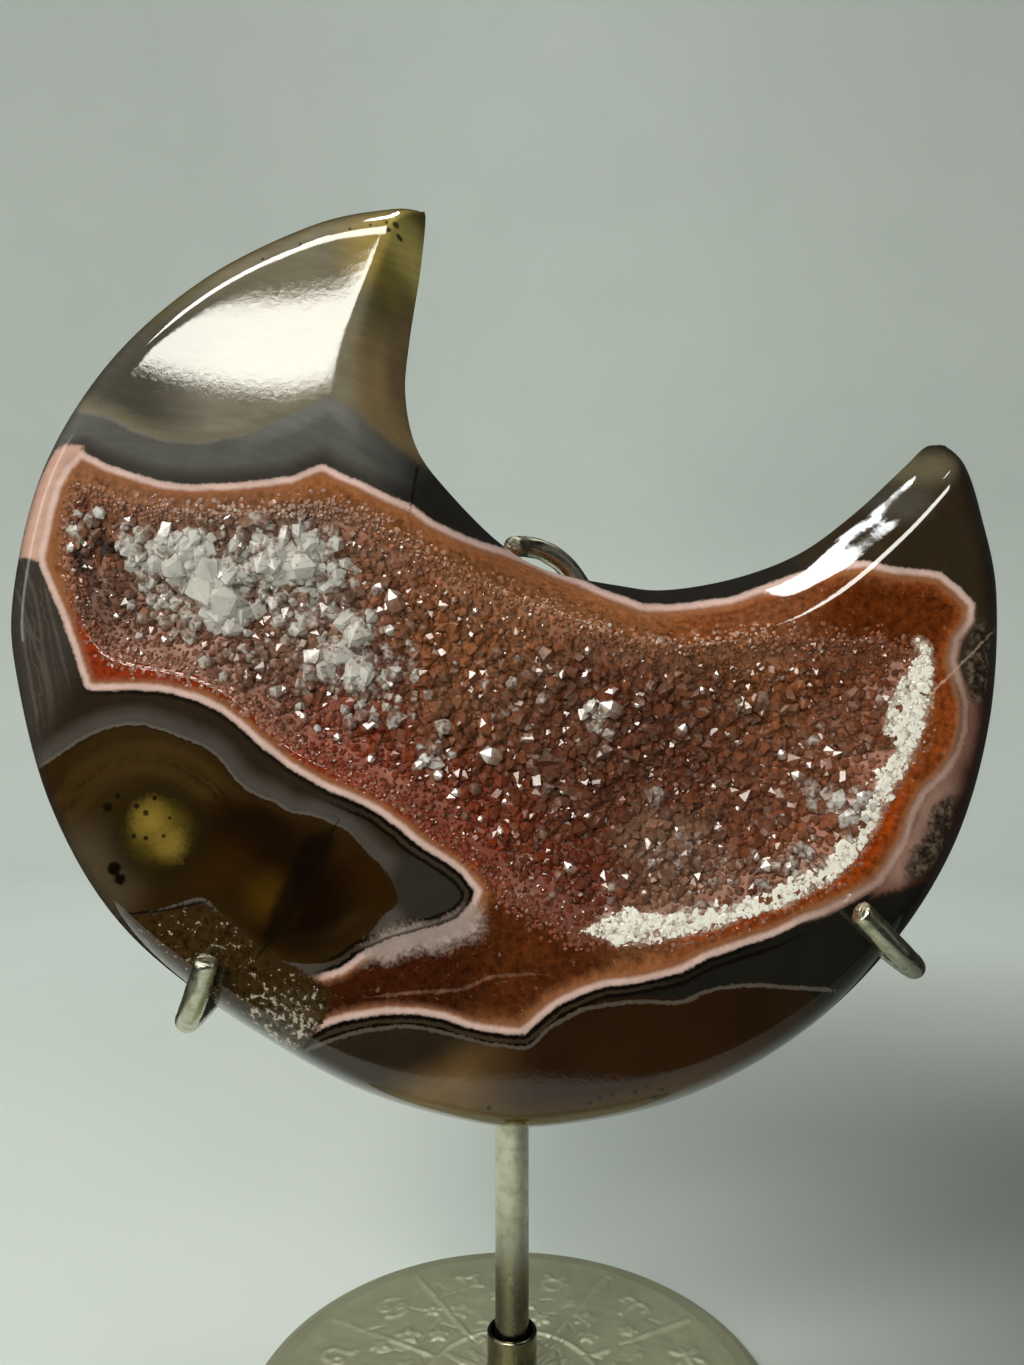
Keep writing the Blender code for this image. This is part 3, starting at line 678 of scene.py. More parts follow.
def polishedAgate():
    # Agate, sawn, ground and polished: bands keep their own tone under one glassy surface
    material, tree, shader = newMaterial("polished agate", {"Roughness": 0.03, "IOR": 1.54})
    place = objectPlace(tree)
    flat = flatPlace(tree, place)
    coarse = grain(tree, place, 4.0, 2)
    wobbles = addMath(tree, "SUBTRACT", addMath(tree, "ADD", grain(tree, place, 0.5, 3), coarse), 1.0)
    wobbles = times(tree, wobbles, agate["wobble"])
    colour = hexColour(agate["ground"])
    for name, tone, strength, wobble, *bounds in agateLayers:
        mask = layerMask(tree, flat, wobbles, strength, wobble, bounds)
        colour = mixColour(tree, mask, colour, hexColour(tone), label=name)
    for x, y, radius in inclusionsPx:
        gap, start, full = spotMask(tree, flat, x, y, 1.5 * radius, 0.7 * radius)
        gap = addMath(tree, "MULTIPLY_ADD", wobbles, 0.18, gap)
        dark = times(tree, rampBetween(tree, gap, start, full), 0.85)
        colour = mixColour(tree, dark, colour, hexColour(agate["inclusion"]))

    # Growth bands run parallel to the walls they grew from, a few to the millimetre
    bands = []
    for name, wobble, scale, detail in agate["growthBands"]:
        values = {"W": addMath(tree, "MULTIPLY_ADD", wobbles, wobble, readAttribute(tree, name)), "Scale": scale,
                  "Detail": detail}
        bands.append(addNode(tree, "TexNoise", values, noise_dimensions="1D").outputs["Fac"])
    banding = mapRange(tree, times(tree, *bands), 0.12, 0.4, *agate["bandTones"])
    # Sugary grain of the quartz inside the line, at about half a millimetre
    crumbs = addNode(tree, "TexVoronoi", {"Vector": place, "Scale": 1 / (agate["crumbSize"] * mm)})
    crumbs = addMath(tree, "SUBTRACT", crumbs.outputs["Distance"], 0.4)
    sugar = addMath(tree, "MULTIPLY_ADD", crumbs, agate["crumbWeight"], grain(tree, place, 0.85, 4, 0.75))
    sugar = mapRange(tree, sugar, 0.35, 0.65, *agate["sugarTones"])
    cloudy = mapRange(tree, coarse, 0.3, 0.7, *agate["cloudTones"])
    inQuartz = rampBetween(tree, readAttribute(tree, "cavity"), 0.3, 2.2)
    inMatrix = rampBetween(tree, readAttribute(tree, "grainy"), -0.2, 0.5)
    grainy = addMath(tree, "MAXIMUM", inQuartz, inMatrix)
    shade = addNode(tree, "Mix", {0: grainy, 2: banding, 3: sugar}).outputs[0]
    colour = scaleColour(tree, colour, times(tree, shade, cloudy))

    # Pale and black specks of the unfilled matrix at the lower left, and veins of the moss at the right
    specks = grain(tree, place, 0.9, 4, 0.65)
    crumbly = rampBetween(tree, *spotMask(tree, flat, *agate["matrixPatch"]))
    crumbly = addMath(tree, "MULTIPLY_ADD", crumbly, 0.1, specks)
    inMoss = rampBetween(tree, readAttribute(tree, "moss"), -0.3, 0.8)
    for value, start, full, where, strength, tone in (
            (specks, 0.6, 0.74, inQuartz, 0.5, "#b98f78"), (crumbly, 0.61, 0.68, inMatrix, 0.85, "#b3ab9b"),
            (specks, 0.42, 0.34, inMatrix, 0.8, "#120b05"), (specks, 0.48, 0.6, inMoss, 0.6, "#7d6b5c"),
            (specks, 0.46, 0.38, inMoss, 0.7, "#15110c")):
        speckled = times(tree, rampBetween(tree, value, start, full), where, strength)
        colour = mixColour(tree, speckled, colour, hexColour(tone))
    setInputs(shader, {"Base Color": colour, "Normal": addBump(tree, sugar, 0.08, 0.02)})
    return material


stone = buildStone(polishedAgate())
print("stone:", len(stone.data.polygons), "faces")

druzy = dict(
    stations=230, rows=64,
    weld=0.01,
    lip=0.1,  # the crust starts this far under the polished face
    dip=5.2,
    steepness=5.0,
    thickness=1.2,
    fineSpacing=0.74, fineRadius=(0.32, 0.58),  # mm between the finest points, and their sizes
    midSpacing=1.3, midRadius=(0.5, 1.05),
    edgeSpacing=0.5, edgeRadius=(0.16, 0.4),
    bandSpacing=0.55, bandRadius=(0.2, 0.62),  # in the shelf of white cut crystals
    edgeSize=0.38, edgeReach=8.0,  # points at the hollow's edge are this share of the size, growing over the reach
    flushReach=2.2,  # how far single cut points spread into the polished quartz
    clearOfLine=1.1,  # and how far they stay from the pink line
    cut=(0.02, 0.14),  # where the lap has cut a point, it ends this far above the polished face
    leastForward=-0.25,  # no point leans back further than this y of its axis
    strayShare=0.12, strayMilk=(0.08, 0.35),
    tones=(0.68, 1.5),  # darkest and palest crystal
)
# Clusters of larger pale points: centre, radius (px), how many, their milkiness, their size in mm
clusters = [
    (80, 530, 20, 36, 0.35, 0.6), (140, 552, 24, 44, 0.75, 0.7), (185, 550, 22, 50, 1.0, 0.7),
    (208, 575, 16, 30, 0.9, 0.65), (170, 600, 36, 50, 0.6, 0.6), (232, 568, 36, 40, 0.75, 0.7),
    (290, 598, 46, 60, 0.65, 0.65), (335, 650, 46, 60, 0.5, 0.65), (245, 655, 40, 44, 0.35, 0.6),
    (224, 612, 14, 22, 1.0, 0.9), (262, 552, 26, 44, 0.8, 0.6), (312, 562, 28, 50, 0.85, 0.65),
    (357, 626, 14, 20, 0.85, 0.75), (325, 600, 34, 36, 0.5, 0.6), (365, 680, 34, 52, 0.6, 0.65),
    (290, 640, 50, 50, 0.35, 0.6), (437, 752, 14, 12, 0.6, 0.75), (605, 715, 16, 12, 0.55, 0.75),
    (655, 808, 16, 10, 0.35, 0.8), (540, 670, 20, 10, 0.3, 0.7), (838, 812, 22, 18, 0.45, 0.9),
    (745, 705, 14, 8, 0.4, 0.7), (675, 865, 34, 30, 0.25, 0.55), (395, 660, 26, 26, 0.5, 0.6),
    (240, 522, 50, 50, 0.5, 0.5), (300, 525, 40, 30, 0.45, 0.5), (800, 870, 34, 36, 0.5, 0.6),
    (740, 880, 40, 30, 0.35, 0.55), (862, 815, 26, 30, 0.5, 0.6), (420, 700, 50, 24, 0.22, 0.6),
    (560, 740, 80, 34, 0.18, 0.7), (760, 790, 80, 30, 0.18, 0.65), (620, 800, 60, 20, 0.12, 0.65),
    (192, 556, 14, 8, 1.0, 1.25), (214, 590, 12, 7, 1.0, 1.35), (268, 560, 16, 8, 0.9, 1.2),
    (350, 625, 10, 4, 0.9, 1.2), (228, 575, 22, 10, 0.9, 1.05), (300, 555, 20, 8, 0.8, 1.1),
    (350, 672, 20, 8, 0.8, 1.1), (160, 565, 16, 7, 0.8, 1.1), (310, 640, 30, 8, 0.6, 1.1),
    (680, 720, 80, 26, 0.12, 0.6), (500, 700, 60, 20, 0.2, 0.6), (850, 740, 60, 24, 0.3, 0.6),
]
# Single facets that face the light: x, y and radius in photograph pixels
flashesPx = [
    (392, 598, 8), (489, 757, 8), (417, 767, 5), (437, 777, 5), (612, 708, 8), (687, 730, 5), (369, 760, 4),
    (545, 698, 4), (770, 868, 6), (760, 860, 4), (205, 588, 5), (150, 570, 5), (790, 756, 4), (805, 778, 5),
    (870, 640, 3), (880, 700, 4), (128, 520, 4), (242, 600, 4), (570, 870, 5), (628, 880, 4), (720, 790, 3),
    (650, 760, 3), (255, 678, 4), (280, 690, 4), (110, 615, 3), (160, 640, 4), (300, 718, 4), (335, 738, 4),
    (500, 835, 3), (475, 610, 3), (588, 650, 3), (660, 640, 3), (745, 812, 3), (820, 720, 3), (455, 795, 4),
    (520, 790, 3), (383, 575, 2), (402, 548, 2), (530, 615, 2), (610, 625, 2), (705, 690, 3), (735, 735, 3),
    (565, 795, 3), (590, 820, 3), (545, 842, 3), (505, 805, 3), (480, 822, 3), (640, 705, 3), (790, 800, 3),
]
keyPlace = np.array([-290.0, -480.0, 566.0])  # the lamp that the facets flash


def crustDepth(points):
    # How far the crust's ground lies under the face
    inward = np.maximum(signedDistance(points, shelfOutline), 0)
    fromTop = pathDistance(points, hollowTop, closed=False)
    steepness = druzy["steepness"] * (1 + 0.9 * (1 - smoothStep(fromTop, 3, 14)))  # it slopes gently at the top
    lumps = 0.5 * softNoise(points, 8, seed=2) + 0.3 * softNoise(points, 2.6, seed=3)
    return druzy["lip"] + druzy["dip"] * (1 - np.exp(-inward / steepness)) + lumps * smoothStep(inward, 0, 3)


def groundY(points):
    return faceDepth(points) + crustDepth(points)


def buildGround(material):
    top, bottom = (smoothPath(edge, druzy["stations"], crowd=0.7) for edge in (hollowTop, hollowBottom))
    share = np.linspace(0, 1, druzy["rows"])
    share = (share - 0.08 * np.sin(2 * math.pi * share))[None, :, None]
    flat = (top[:, None] + (bottom - top)[:, None] * share).reshape(-1, 2)
    front = groundY(flat)
    points = np.vstack([atDepth(flat, front), atDepth(flat, front + druzy["thickness"])])
    over = np.arange(len(flat)).reshape(druzy["stations"], druzy["rows"])
    under = over + len(flat)
    border = np.concatenate([over[:, 0], over[-1, 1:], over[-2::-1, -1], over[0, -2:0:-1]])
    below = border + len(flat)
    faces = gridFaces(over) + gridFaces(under[:, ::-1])
    faces += np.stack([np.roll(border, -1), border, below, np.roll(below, -1)], axis=1).tolist()
    return meshObject("druzy_ground", points, faces, material, weldMm=druzy["weld"])


def scatter(outline, spacing, margin=0.0):
    # Jittered places over an outline, about one to each square of the spacing
    low, high = outline.min(axis=0) - spacing, outline.max(axis=0) + spacing
    across, up = np.meshgrid(np.arange(low[0], high[0], spacing), np.arange(low[1], high[1], spacing))
    places = np.column_stack([across.ravel(), up.ravel()])
    places[:, 0] += spacing * 0.5 * (np.arange(across.size) // across.shape[1] % 2)
    places += rng.uniform(-0.45, 0.45, places.shape) * spacing
    return places[signedDistance(places, outline) > -margin]


def groundNormals(places):
    step = 0.8
    slopeX, slopeZ = ((groundY(places + way) - groundY(places - way)) / (2 * step)
                      for way in ([step, 0], [0, step]))
    return unit(np.column_stack([slopeX, -np.ones(len(places)), slopeZ]))


def quartzPoint(radius, stem, tip, skew=1.0):
    # A six-sided prism with a slightly skewed six-sided point: 12 ring points, a tip and a foot
    angles = np.arange(6) * math.pi / 3 + skew * rng.uniform(-0.12, 0.12, 6)
    ring = np.column_stack([np.cos(angles), np.sin(angles)]) * radius
    ring *= 1 + skew * rng.uniform(-0.18, 0.15, 6)[:, None]
    shoulder = stem + skew * radius * np.where(np.arange(6) % 2, 0.22, -0.1) * rng.uniform(0, 1.6)
    lean = skew * rng.uniform(-0.32, 0.32, 2) * radius
    foot = -1.1 * radius
    return np.vstack([np.column_stack([ring, np.full(6, foot)]), np.column_stack([ring, shoulder]),
                      [[*lean, stem + tip]], [[0, 0, foot]]])


pointFaces = ([[i, (i + 1) % 6, 6 + (i + 1) % 6, 6 + i] for i in range(6)]
              + [[6 + i, 6 + (i + 1) % 6, 12] for i in range(6)] + [[(i + 1) % 6, i, 13] for i in range(6)])
pointHeights = [0] * 6 + [0.4] * 6 + [1, 0]  # how near the tip each of a crystal's 14 points is


def pointFrame(axis, turn):
    # Columns are the point's own x, y and z in the world
    side = unit(np.cross(axis, [0.3, 0.2, 0.93]))
    other = np.cross(axis, side)
    return np.column_stack([math.cos(turn) * side + math.sin(turn) * other,
                            math.cos(turn) * other - math.sin(turn) * side, axis])


def joinPoints(name, pieces, milk, material):
    # One mesh of many points; the lap took off whatever stood above the face
    points, corners = np.vstack(pieces), len(pointHeights)
    cut = faceDepth(points[:, [0, 2]]) - np.repeat(rng.uniform(*druzy["cut"], len(pieces)), corners)
    points[:, 1] = np.maximum(points[:, 1], cut)
    faces = [[v + corners * i for v in face] for i in range(len(pieces)) for face in pointFaces]
    obj = meshObject(name, points, faces, material, smooth=False)
    setAttribute(obj, "tone", np.repeat(rng.uniform(0, 1, len(pieces)), corners))
    setAttribute(obj, "milk", np.repeat(milk, corners))
    setAttribute(obj, "tip", np.tile(pointHeights, len(pieces)))
    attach(obj, "root")
    print(name + ":", len(pieces), "points")


def growPoints(places, radii, tilt, raised=0.0):
    pieces = []
    normals = groundNormals(places)
    feet = atDepth(places, groundY(places)) + normals * raised
    for foot, normal, radius in zip(feet, normals, radii):
        axis = unit(normal + rng.normal(0, tilt, 3))
        if axis[1] > druzy["leastForward"]:
            axis = unit(np.array([axis[0], druzy["leastForward"], axis[2]]))
        point = quartzPoint(radius, radius * rng.uniform(0.05, 0.7), radius * rng.uniform(0.7, 1.25))
        pieces.append(foot + point @ pointFrame(axis, rng.uniform(0, 1.05)).T)
    return pieces


def flashPoints(places, radii):
    # Points turned so that one facet sends the key lamp's light to the photograph's place
    pieces = []
    tipShare = 0.95  # tip height over radius
    slope = math.atan2(tipShare, math.cos(math.pi / 6))
    for place, y, radius in zip(places, groundY(places), radii):
        foot = np.array([place[0], y - 0.9 * radius, place[1]])
        facet = unit(unit(keyPlace - foot) + unit(np.array([0, viewer["y"], viewer["z"]]) - foot))
        sideways = math.sin(slope) * np.cross(unit(np.cross(facet, rng.normal(size=3))), facet)
        axis = math.cos(slope) * facet + sideways
        if axis[1] > 0:
            axis = math.cos(slope) * facet - sideways
        upright = pointFrame(axis, 0)
        turn = math.atan2(facet @ upright[:, 1], facet @ upright[:, 0]) - math.pi / 6
        point = quartzPoint(radius, 0.3 * radius, tipShare * radius, skew=0)
        pieces.append(foot + point @ pointFrame(axis, turn).T)
    return pieces


# Tints over the crystals: x, y and radii in photograph pixels, colour and how strongly it shows
hollowTints = [
    (600, 600, 340, 80, "#966039", 0.8), (300, 500, 170, 60, "#8e5a3f", 0.7), (620, 790, 210, 80, "#5c260f", 0.85),
    (880, 650, 120, 40, "#7a3f1d", 0.9), (110, 605, 60, 20, "#4d1e11", 0.85), (180, 662, 110, 30, "#8a3a22", 0.9),
    (330, 745, 130, 40, "#842f12", 0.9), (450, 845, 120, 40, "#7d2c10", 0.9), (560, 890, 90, 30, "#6f2c14", 0.85),
    (675, 865, 75, 30, "#997760", 0.6), (230, 590, 200, 80, "#96725f", 0.7), (95, 551, 16, 5, "#120504", 0.95),
]


def druzyQuartz(name, transmission, roughness, cloudiness=0.0, pale="#f4ede2", mottling=0.25):
    # Small quartz points, as grown: glassy facets, rust at the root, paler and cloudier towards the tip
    material, tree, shader = newMaterial(name, {
        "Roughness": roughness, "IOR": 1.544, "Transmission Weight": transmission, "Subsurface Weight": cloudiness,
        "Subsurface Scale": 0.8 * mm, "Subsurface Radius": (1.0, 0.95, 0.9)})
    place = objectPlace(tree)
    flat = flatPlace(tree, place)
    wobbles = addMath(tree, "SUBTRACT", grain(tree, place, 4.0, 3), 0.5)
    colour = hexColour("#8a4c2c")
    for *spot, tint, strength in hollowTints:
        value, start, full = spotMask(tree, flat, *spot)
        mask = rampBetween(tree, addMath(tree, "MULTIPLY_ADD", wobbles, 12.0, value), start, full)
        colour = mixColour(tree, times(tree, mask, strength), colour, hexColour(tint))
    shade = mapRange(tree, readAttribute(tree, "tone"), 0.0, 1.0, *druzy["tones"])
    mottle = mapRange(tree, grain(tree, place, 0.6, 4), 0.3, 0.7, 1 - mottling, 1 + mottling)
    rusty = scaleColour(tree, colour, times(tree, shade, mottle))
    tip = readAttribute(tree, "tip")
    milk = times(tree, readAttribute(tree, "milk"), addMath(tree, "MULTIPLY_ADD", tip, 0.7, 0.3))
    milk = times(tree, addMath(tree, "MULTIPLY_ADD", tip, 0.1, milk), mottle)
    mauve = mixColour(tree, times(tree, milk, 2.0), rusty, hexColour("#9b7562"))
    colour = mixColour(tree, rampBetween(tree, milk, 0.18, 1.0), mauve, hexColour(pale))
    setInputs(shader, {"Base Color": colour})
    return material


def clusterMilk(places):
    # How clouded the crystals are round the clusters, falling off from each middle
    total = np.zeros(len(places))
    for *centre, radius, _, cloud, _ in clusters:
        gap = np.linalg.norm(places - onFace([centre])[0], axis=1)
        reach = 1.35 * radius * pixel
        total = np.maximum(total, cloud * (1 - smoothStep(gap, 0.2 * reach, reach)))
    return total**1.5


def buildCrust():
    bandOutline = onFace(marks["whiteBand"])

    def inBand(places, low, high):
        ragged = signedDistance(places, bandOutline) + 0.5 * softNoise(places, 2.0, seed=5)
        return smoothStep(ragged, low, high)

    def growth(places):
        # Points shrink towards the hollow's edge
        least = druzy["edgeSize"]
        return least + (1 - least) * smoothStep(signedDistance(places, hollowOutline), 0.0, druzy["edgeReach"])

    def paleness(places):
        # Clouded in the clusters and the cut band; elsewhere one point in eight is a little milky
        count = len(places)
        stray = np.where(rng.uniform(0, 1, count) < druzy["strayShare"], rng.uniform(*druzy["strayMilk"], count), 0)
        clustered = clusterMilk(places) * (1.2 + 0.4 * softNoise(places, 3.5, seed=9)) * rng.uniform(0.7, 1.3, count)
        return np.maximum.reduce([clustered, inBand(places, -0.8, 0.8) * rng.uniform(0.9, 1.5, count), stray])

    ground = buildGround(druzyQuartz("rust-stained quartz ground", 0.0, 0.6))
    places = meshPoints(ground)[:, [0, 2]]
    speckle = softNoise(places, 1.2, seed=4)
    milk = [clusterMilk(places) * (0.8 + 0.3 * speckle), inBand(places, -0.2, 1.0) * (1.9 + 0.4 * speckle)]
    setAttribute(ground, "milk", np.maximum(*milk))
    setAttribute(ground, "tone", 0.5 + 0.5 * speckle)
    setAttribute(ground, "tip", np.full(len(places), 0.6))
    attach(ground, "root")
    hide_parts("druzy_crust")

    clearQuartz = druzyQuartz("clear druzy quartz", 0.3, 0.15)
    milkyQuartz = druzyQuartz("clouded druzy quartz", 0.42, 0.18, cloudiness=0.3, pale="#fcf8f0", mottling=0.6)
    rimQuartz = druzyQuartz("sugary quartz at the rim", 0.1, 0.34)
    bandQuartz = druzyQuartz("sawn milky quartz", 0.05, 0.22, pale="#fffaf0", mottling=0.45)
    glintQuartz = druzyQuartz("mirror-bright quartz facet", 0.3, 0.06)

    fine = scatter(hollowOutline, druzy["fineSpacing"])
    radii = rng.uniform(*druzy["fineRadius"], len(fine)) * growth(fine)
    joinPoints("druzy_fine", growPoints(fine, radii, 0.7), paleness(fine), clearQuartz)

    edge = scatter(hollowOutline, druzy["edgeSpacing"], margin=druzy["flushReach"])
    inward = signedDistance(edge, hollowOutline)
    thinning = rng.uniform(0, 1, len(edge)) > -inward / druzy["flushReach"]
    edge = edge[(inward < 1.4) & thinning & (signedDistance(edge, onFace(cavityPx)) > druzy["clearOfLine"])]
    radii = rng.uniform(*druzy["edgeRadius"], len(edge))
    joinPoints("druzy_edge", growPoints(edge, radii, 0.5), paleness(edge), rimQuartz)

    mid = scatter(hollowOutline, druzy["midSpacing"], margin=-0.5)
    radii = rng.uniform(*druzy["midRadius"], len(mid)) * growth(mid)
    joinPoints("druzy_mid", growPoints(mid, radii, 0.55), paleness(mid), clearQuartz)

    places, radii, milk = [], [], []
    for *centre, radius, count, cloud, size in clusters:
        places.append(onFace(np.array(centre) + rng.normal(0, 0.6, (count, 2)) * radius))
        radii.append(rng.uniform(0.6, 1.4, count) * size * (1.05 + 0.35 * cloud))
        milk.append(np.clip(rng.normal(1.8 * cloud**1.7, 0.3, count), 0.1, 2))
    places, radii, milk = np.vstack(places), np.concatenate(radii), np.concatenate(milk)
    inside = signedDistance(places, hollowOutline) > 0.5
    large = growPoints(places[inside], radii[inside], 0.5, raised=0.3)
    joinPoints("druzy_large", large, milk[inside], milkyQuartz)

    band = scatter(bandOutline, druzy["bandSpacing"], margin=0.2)
    band = band[signedDistance(band, bandOutline) + 0.7 * softNoise(band, 1.6, seed=11) > 0]
    radii = rng.uniform(*druzy["bandRadius"], len(band))
    milk = np.clip(rng.normal(1.9, 0.6, len(band)), 0.4, 3)
    joinPoints("druzy_cut_band", growPoints(band, radii, 0.5, raised=0.1), milk, bandQuartz)

    flashes = np.array(flashesPx, float)
    facets = flashPoints(onFace(flashes[:, :2]), flashes[:, 2] * pixel * 1.2)
    joinPoints("druzy_facets", facets, rng.uniform(0.5, 1, len(flashes)), glintQuartz)


buildCrust()

# Metal: a cast base, a turned collar, a rod, and three wires soldered into a ferrule. In mm
wires = dict(
    radius=1.5, sides=28, spacing=0.5,
    ferruleRadius=3.2,
    backY=-1.6,  # where a prong lies against the stone's back
    wrap=[(4.2, -1.75), (0.6, -3.6), (-1.5, -7.4), (-2.05, -12.6), (-1.75, -17.2), (-0.3, -21.2)],  # inward, y
    front=(3.4, -24.9),
    leftRim=(-41.3, 66.4), leftInward=(0.52, 0.854), leftTip=(-37.5, -26.2, 74.9),
    rightRim=(50.9, 73.2), rightInward=(-0.75, 0.661), rightTip=(42.9, -26.2, 80.9),
    back=[
        (0, 0, 96.4), (0.6, -0.5, 100), (4.4, -1.4, 107.5), (9, -1.6, 114.5), (11.4, -1.6, 119.4),
        (10.2, -1.8, 123.0), (7.7, -2.4, 126.3), (4.7, -3.6, 128.2), (1.9, -5.6, 128.6), (0.2, -8.2, 128.2),
    ],
    snippedEnd=((0.93, 0.25), (0.72, 0.42), (0.35, 0.5)),  # the cutters' end: share of the radius, mm on
)


def prongRoute(side, rim, inward, tip):
    start = (side * (wires["ferruleRadius"] + 0.54), 0, 90.5)
    out = (side * (wires["ferruleRadius"] + 2.0), 0, 90.4)
    behind = (side * 11, -1.1, 87.8)
    wrap = [(rim[0] + s * inward[0], y, rim[1] + s * inward[1]) for s, y in wires["wrap"] + [wires["front"]]]
    halfway = ((behind[0] + wrap[0][0]) / 2, wires["backY"], (behind[2] + wrap[0][2]) / 2)
    return [start, out, behind, halfway, *wrap, tip]


def sweepWire(name, route, material):
    # A round wire along the route, slightly dented, with a slanted, pinched end and a burr
    length = sum(math.dist(a, b) for a, b in zip(route, route[1:]))
    path = smoothPath(route, int(length / wires["spacing"]))
    tangents = unit(np.gradient(path, axis=0))
    side = Vector(tangents[0]).orthogonal().normalized()
    angles = turnAngles(wires["sides"])
    rings = []
    for i, (centre, tangent) in enumerate(zip(path, tangents)):
        side = (side - side.dot(Vector(tangent)) * Vector(tangent)).normalized()
        other = Vector(tangent).cross(side)
        dent = 1 + 0.012 * math.sin(i * 0.9) + 0.01 * math.sin(i * 0.37 + 1)
        ring = np.outer(np.cos(angles), side) + np.outer(np.sin(angles), other)
        rings.append(centre + ring * wires["radius"] * dent)
    end, chance = path[-1], np.random.default_rng(len(name))
    for share, along in wires["snippedEnd"]:
        ring = end + (rings[len(path) - 1] - end) * share
        slant = (ring - end) @ np.array([0.2, 0.1, 0.35])
        burr = chance.uniform(-0.07, 0.07, (len(angles), 1))
        rings.append(ring + tangents[-1] * (along + slant[:, None] * 0.35 + burr))
    points = np.vstack(rings + [[path[0]], [end + tangents[-1] * 0.46]])
    index = np.arange(len(rings) * len(angles)).reshape(len(rings), -1)
    first, last = len(points) - 2, len(points) - 1
    faces = gridFaces(index, closed=True)
    faces += [[index[0, j], index[0, j - 1], first] for j in range(len(angles))]
    faces += [[index[-1, j - 1], index[-1, j], last] for j in range(len(angles))]
    wire = meshObject(name, points, faces, material)
    wire.data.set_sharp_from_angle(angle=math.radians(42))
    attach(wire, "root")
    return wire


def turnedPiece(name, profile, segments, material, wave=0.0):
    # Radius and height turned round the Z axis; an end at radius 0 closes in a point
    rings = [ringPoints(r, z, turnAngles(segments)) for r, z in profile if r > 0]
    points = np.vstack(rings)
    if wave:
        points[:, :2] *= 1 + wave * softNoise(points, 3.0, seed=len(name))[:, None] / 3
    index = np.arange(len(points)).reshape(len(rings), segments)
    faces = gridFaces(index, closed=True)
    for row, (r, z) in ((0, profile[0]), (-1, profile[-1])):
        if r <= 0:
            faces += [[index[row, j - 1], index[row, j], len(points)] for j in range(segments)]
            points = np.vstack([points, [[0, 0, z]]])
    piece = meshObject(name, points, faces, material)
    piece.data.set_sharp_from_angle(angle=math.radians(38))
    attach(piece, "root")
    return piece


def nickelWire(name, colour, roughness, grimeColour, darkerBelow=None):
    # Nickel-plated steel: a warm grey mirror, dulled by fine drawing lines and handling
    material, tree, shader = newMaterial(name, {"Metallic": 1.0})
    place = objectPlace(tree)
    dull = grain(tree, place, 1.6, 4)
    metal = mixColour(tree, mapRange(tree, dull, 0.5, 0.75), hexColour(colour), hexColour(grimeColour))
    if darkerBelow:  # darker between these heights in mm and below them
        height = addNode(tree, "SeparateXYZ", {0: place}).outputs["Z"]
        dark = times(tree, rampBetween(tree, height, darkerBelow[0] * mm, darkerBelow[1] * mm), 0.8)
        metal = mixColour(tree, dark, metal, hexColour("#3b3527"))
    setInputs(shader, {"Base Color": metal, "Normal": addBump(tree, grain(tree, place, 0.25, 2), 0.25, 0.03),
                       "Roughness": mapRange(tree, dull, 0.3, 0.7, roughness * 0.7, roughness * 1.5)})
    return material


holder = dict(
    rod=[(0, 1.5), (2.2, 1.5), (2.5, 1.8), *[(2.5, z) for z in np.linspace(2.5, 90, 60)], (2.5, 90.7), (2.2, 91),
         (0, 91)],
    ferrule=[(2.8, 84), (3.1, 84), (3.2, 84.15), *[(3.2, z) for z in np.linspace(84.6, 95.2, 18)], (3.05, 95.7),
             (2.6, 96), (1.6, 96), (0, 96)],
    collar=[
        (3.1, 5.35), (4.2, 5.35), (4.32, 5.45), (4.33, 5.7), (4.3, 6.0), (4.18, 6.35), (4.02, 6.8), (3.88, 7.3),
        (3.78, 7.8), (3.7, 8.3), (3.68, 9.2), (3.68, 12.2), (3.7, 12.7), (3.7, 13.15), (3.62, 13.33), (3.5, 13.4),
        (3.2, 13.4), (3.1, 13.3), (3.1, 5.35),
    ],
    # the rod is darker towards the bottom, from 36 mm down to 17 mm and below
    rodDarkerBelow=(36, 17),
)


def buildHolder():
    plated = nickelWire("drawn nickel wire", "#c9c6ae", 0.26, "#8f8c72")
    satin = nickelWire("satin nickel tube", "#d3d1b9", 0.24, "#bbb9a0", darkerBelow=holder["rodDarkerBelow"])
    # the collar's nickel is given a dark colour: painted dark reflections of the surroundings in front
    bright = nickelWire("turned nickel with painted dark reflections", "#7d7964", 0.14, "#57533f")
    solder = nickelWire("tin solder", "#b3b0a0", 0.34, "#6f6c5c")
    for name, side in (("left", -1), ("right", 1)):
        route = prongRoute(side, wires[name + "Rim"], wires[name + "Inward"], wires[name + "Tip"])
        prong = sweepWire(name + "_prong", route, plated)
        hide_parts("arm_" + name)
    hook = sweepWire("back_hook", wires["back"], plated)
    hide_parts("arm_back")
    rod = turnedPiece("stand_rod", holder["rod"], 64, satin, wave=0.006)
    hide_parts("rod")
    ferrule = turnedPiece("soldered_ferrule", holder["ferrule"], 48, solder, wave=0.05)
    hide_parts("ferrule")
    collar = turnedPiece("turned_collar", holder["collar"], 72, bright)
    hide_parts("collar")


buildHolder()

base = dict(
    radius=40,
    profile=[(0, 5.0), (8, 5.0), (24, 4.8), (35, 4.4), (37.5, 3.9), (39.2, 2.9), (40, 1.6)],  # radius and height
    underside=[(40, 0.6), (39.85, 0.25), (39.5, 0)],
    rings=124, segments=560,
    edgeFrom=34.6, edgeRings=25,  # finer rings round the edge
    reliefHeight=0.26, lineHalf=0.32,
    fieldLow=0.22,  # how far the field between the reliefs lies under the profile
    socket=3.2,
    nicks=90, nickDepth=0.18,
    signReach=28.2, signSize=2.6,
    stars=((20.5, 0.16, 1.7), (23.0, -0.17, 1.2), (17.0, -0.02, 1.3)),  # reach, turn and size in each sector
)


def arcPoints(centre, radius, start, end, count=12):
    angles = np.radians(np.linspace(start, end, count))
    return [(centre[0] + radius * math.cos(a), centre[1] + radius * math.sin(a)) for a in angles]


